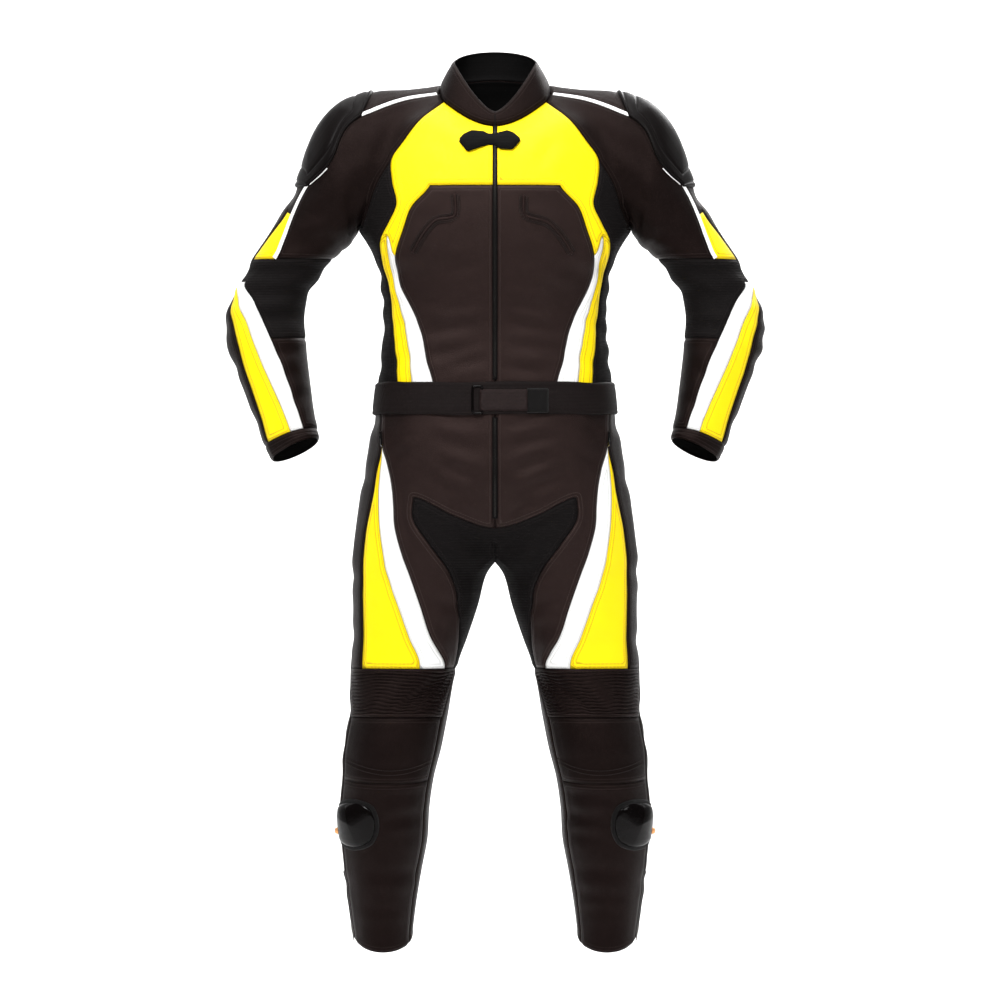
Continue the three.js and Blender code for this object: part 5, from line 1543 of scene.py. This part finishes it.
# Area lights: place, size, power in watts and what they face
LIGHTS = {
    "Key": ((-0.8, -2.3, 1.4), (1.1, 0.8), 96, SUIT_MIDDLE),
    "Fill": ((1.8, -2.4, 0.6), (0.8, 1.2), 26, SUIT_MIDDLE),
    "Rim left": ((-2.6, 0.6, 0.6), (0.8, 2.4), 14, SUIT_MIDDLE),
    "Rim right": ((2.6, 0.6, 0.6), (0.8, 2.4), 14, SUIT_MIDDLE),
    "Top": ((0.0, -0.4, 2.2), (2.0, 1.2), 70, SUIT_MIDDLE),
    "Wall": ((0.0, 0.9, 1.5), (2.4, 0.6), 60, WALL_MIDDLE),
    "Back": ((1.1, 1.9, 1.2), (0.9, 0.9), 40, SUIT_MIDDLE),
}
CAMERA_PLACE, LENS, SENSOR = (0.008, -16.05, -0.64), 360, 36


def linked(scene, name, data, place=(0, 0, 0), turn=(0, 0, 0)):
    """A new object in the scene."""
    made = bpy.data.objects.new(name, data)
    made.location, made.rotation_euler = place, turn
    scene.collection.objects.link(made)
    return made


def build_backdrop(scene):
    """Pale floor that curves up into a wall, which is clear from behind."""
    t = np.linspace(0, np.pi / 2, 24)
    bend = np.stack([WALL_START + BEND * np.sin(t), FLOOR + BEND * (1 - np.cos(t))], 1)
    y, z = np.concatenate([[[-5.0, FLOOR]], bend, [[WALL_START + BEND, WALL_TOP]]]).T
    points = np.stack([np.tile([-HALF_WALL, HALF_WALL], len(y)), np.repeat(y, 2), np.repeat(z, 2)], -1)
    floor = bpy.data.meshes.new("backdrop")
    floor.from_pydata(points.tolist(), [], grid_faces(len(y), 2)[:, ::-1].tolist())
    floor.polygons.foreach_set("use_smooth", np.ones(len(floor.polygons), bool))
    material, tree, shader, _ = new_material("Backdrop", Roughness=0.9,
                                             Base_Color=shade(scene.suit_colours.backdrop))
    either = put(tree, "ShaderNodeMixShader", Fac=put(tree, "ShaderNodeNewGeometry").outputs["Backfacing"])
    feed(tree, either.inputs[1], shader.outputs[0])
    feed(tree, either.inputs[2], put(tree, "ShaderNodeBsdfTransparent").outputs[0])
    output = next(node for node in tree.nodes if node.type == "OUTPUT_MATERIAL")
    feed(tree, output.inputs[0], either.outputs[0])
    floor.materials.append(material)
    linked(scene, "backdrop", floor)


def build_stage(scene):
    """The backdrop, a dim world, soft lights and the camera."""
    build_backdrop(scene)
    scene.world = bpy.data.worlds.new("Studio")
    scene.world.use_nodes = True
    colour, strength = scene.world.node_tree.nodes["Background"].inputs[:2]
    colour.default_value, strength.default_value = (1, 1, 1, 1), WORLD_LIGHT
    for name, (place, size, power, target) in LIGHTS.items():
        lamp = bpy.data.lights.new(name, "AREA")
        lamp.shape = "RECTANGLE"
        lamp.size, lamp.size_y = size
        lamp.energy = power
        x, y, z = np.subtract(target, place)
        linked(scene, name, lamp, place, (math.atan2(math.hypot(x, y), -z), 0, math.atan2(-x, y)))
    lens = bpy.data.cameras.new("Camera")
    lens.lens, lens.sensor_width = LENS, SENSOR
    scene.camera = linked(scene, "Camera", lens, CAMERA_PLACE, (math.pi / 2, 0, 0))
    scene.view_settings.view_transform = "Standard"
    scene.view_settings.look = "None"


class SUIT_PT_panel(bpy.types.Panel):
    """Steps and settings of the race suit."""

    bl_idname = "SUIT_PT_panel"
    bl_label = "Race suit"
    bl_space_type = "VIEW_3D"
    bl_region_type = "UI"
    bl_category = "Race suit"

    def draw(self, context):
        for group in (context.scene.suit_sizes, context.scene.suit_colours):
            for name in group.bl_rna.properties.keys():
                if name not in ("rna_type", "name"):
                    self.layout.prop(group, name)
        for step in STEPS:
            self.layout.operator(step.bl_idname)


STEPS = (SUIT_OT_finishes, SUIT_OT_jacket_front, SUIT_OT_jacket_back, SUIT_OT_sleeves, SUIT_OT_trousers,
         SUIT_OT_waist, SUIT_OT_closures, SUIT_OT_hard_parts, SUIT_OT_sewing, SUIT_OT_stage)
CLASSES = (SuitSizes, SuitColours) + STEPS + (SUIT_PT_panel,)


def register():
    for cls in CLASSES:
        bpy.utils.register_class(cls)
    bpy.types.Scene.suit_sizes = bpy.props.PointerProperty(
        type=SuitSizes, name="Suit sizes", description="How the cloth of the suit lies")
    bpy.types.Scene.suit_colours = bpy.props.PointerProperty(
        type=SuitColours, name="Suit colours", description="Colours of the suit's materials")


def unregister():
    del bpy.types.Scene.suit_colours
    del bpy.types.Scene.suit_sizes
    for cls in reversed(CLASSES):
        bpy.utils.unregister_class(cls)


def main():
    register()
    bpy.ops.suit.finishes()
    bpy.ops.suit.jacket_front()
    bpy.ops.suit.jacket_back()
    bpy.ops.suit.sleeves()
    bpy.ops.suit.trousers()
    bpy.ops.suit.waist()
    bpy.ops.suit.closures()
    bpy.ops.suit.hard_parts()
    bpy.ops.suit.sewing()
    bpy.ops.suit.stage()


if __name__ == "__main__":
    main()
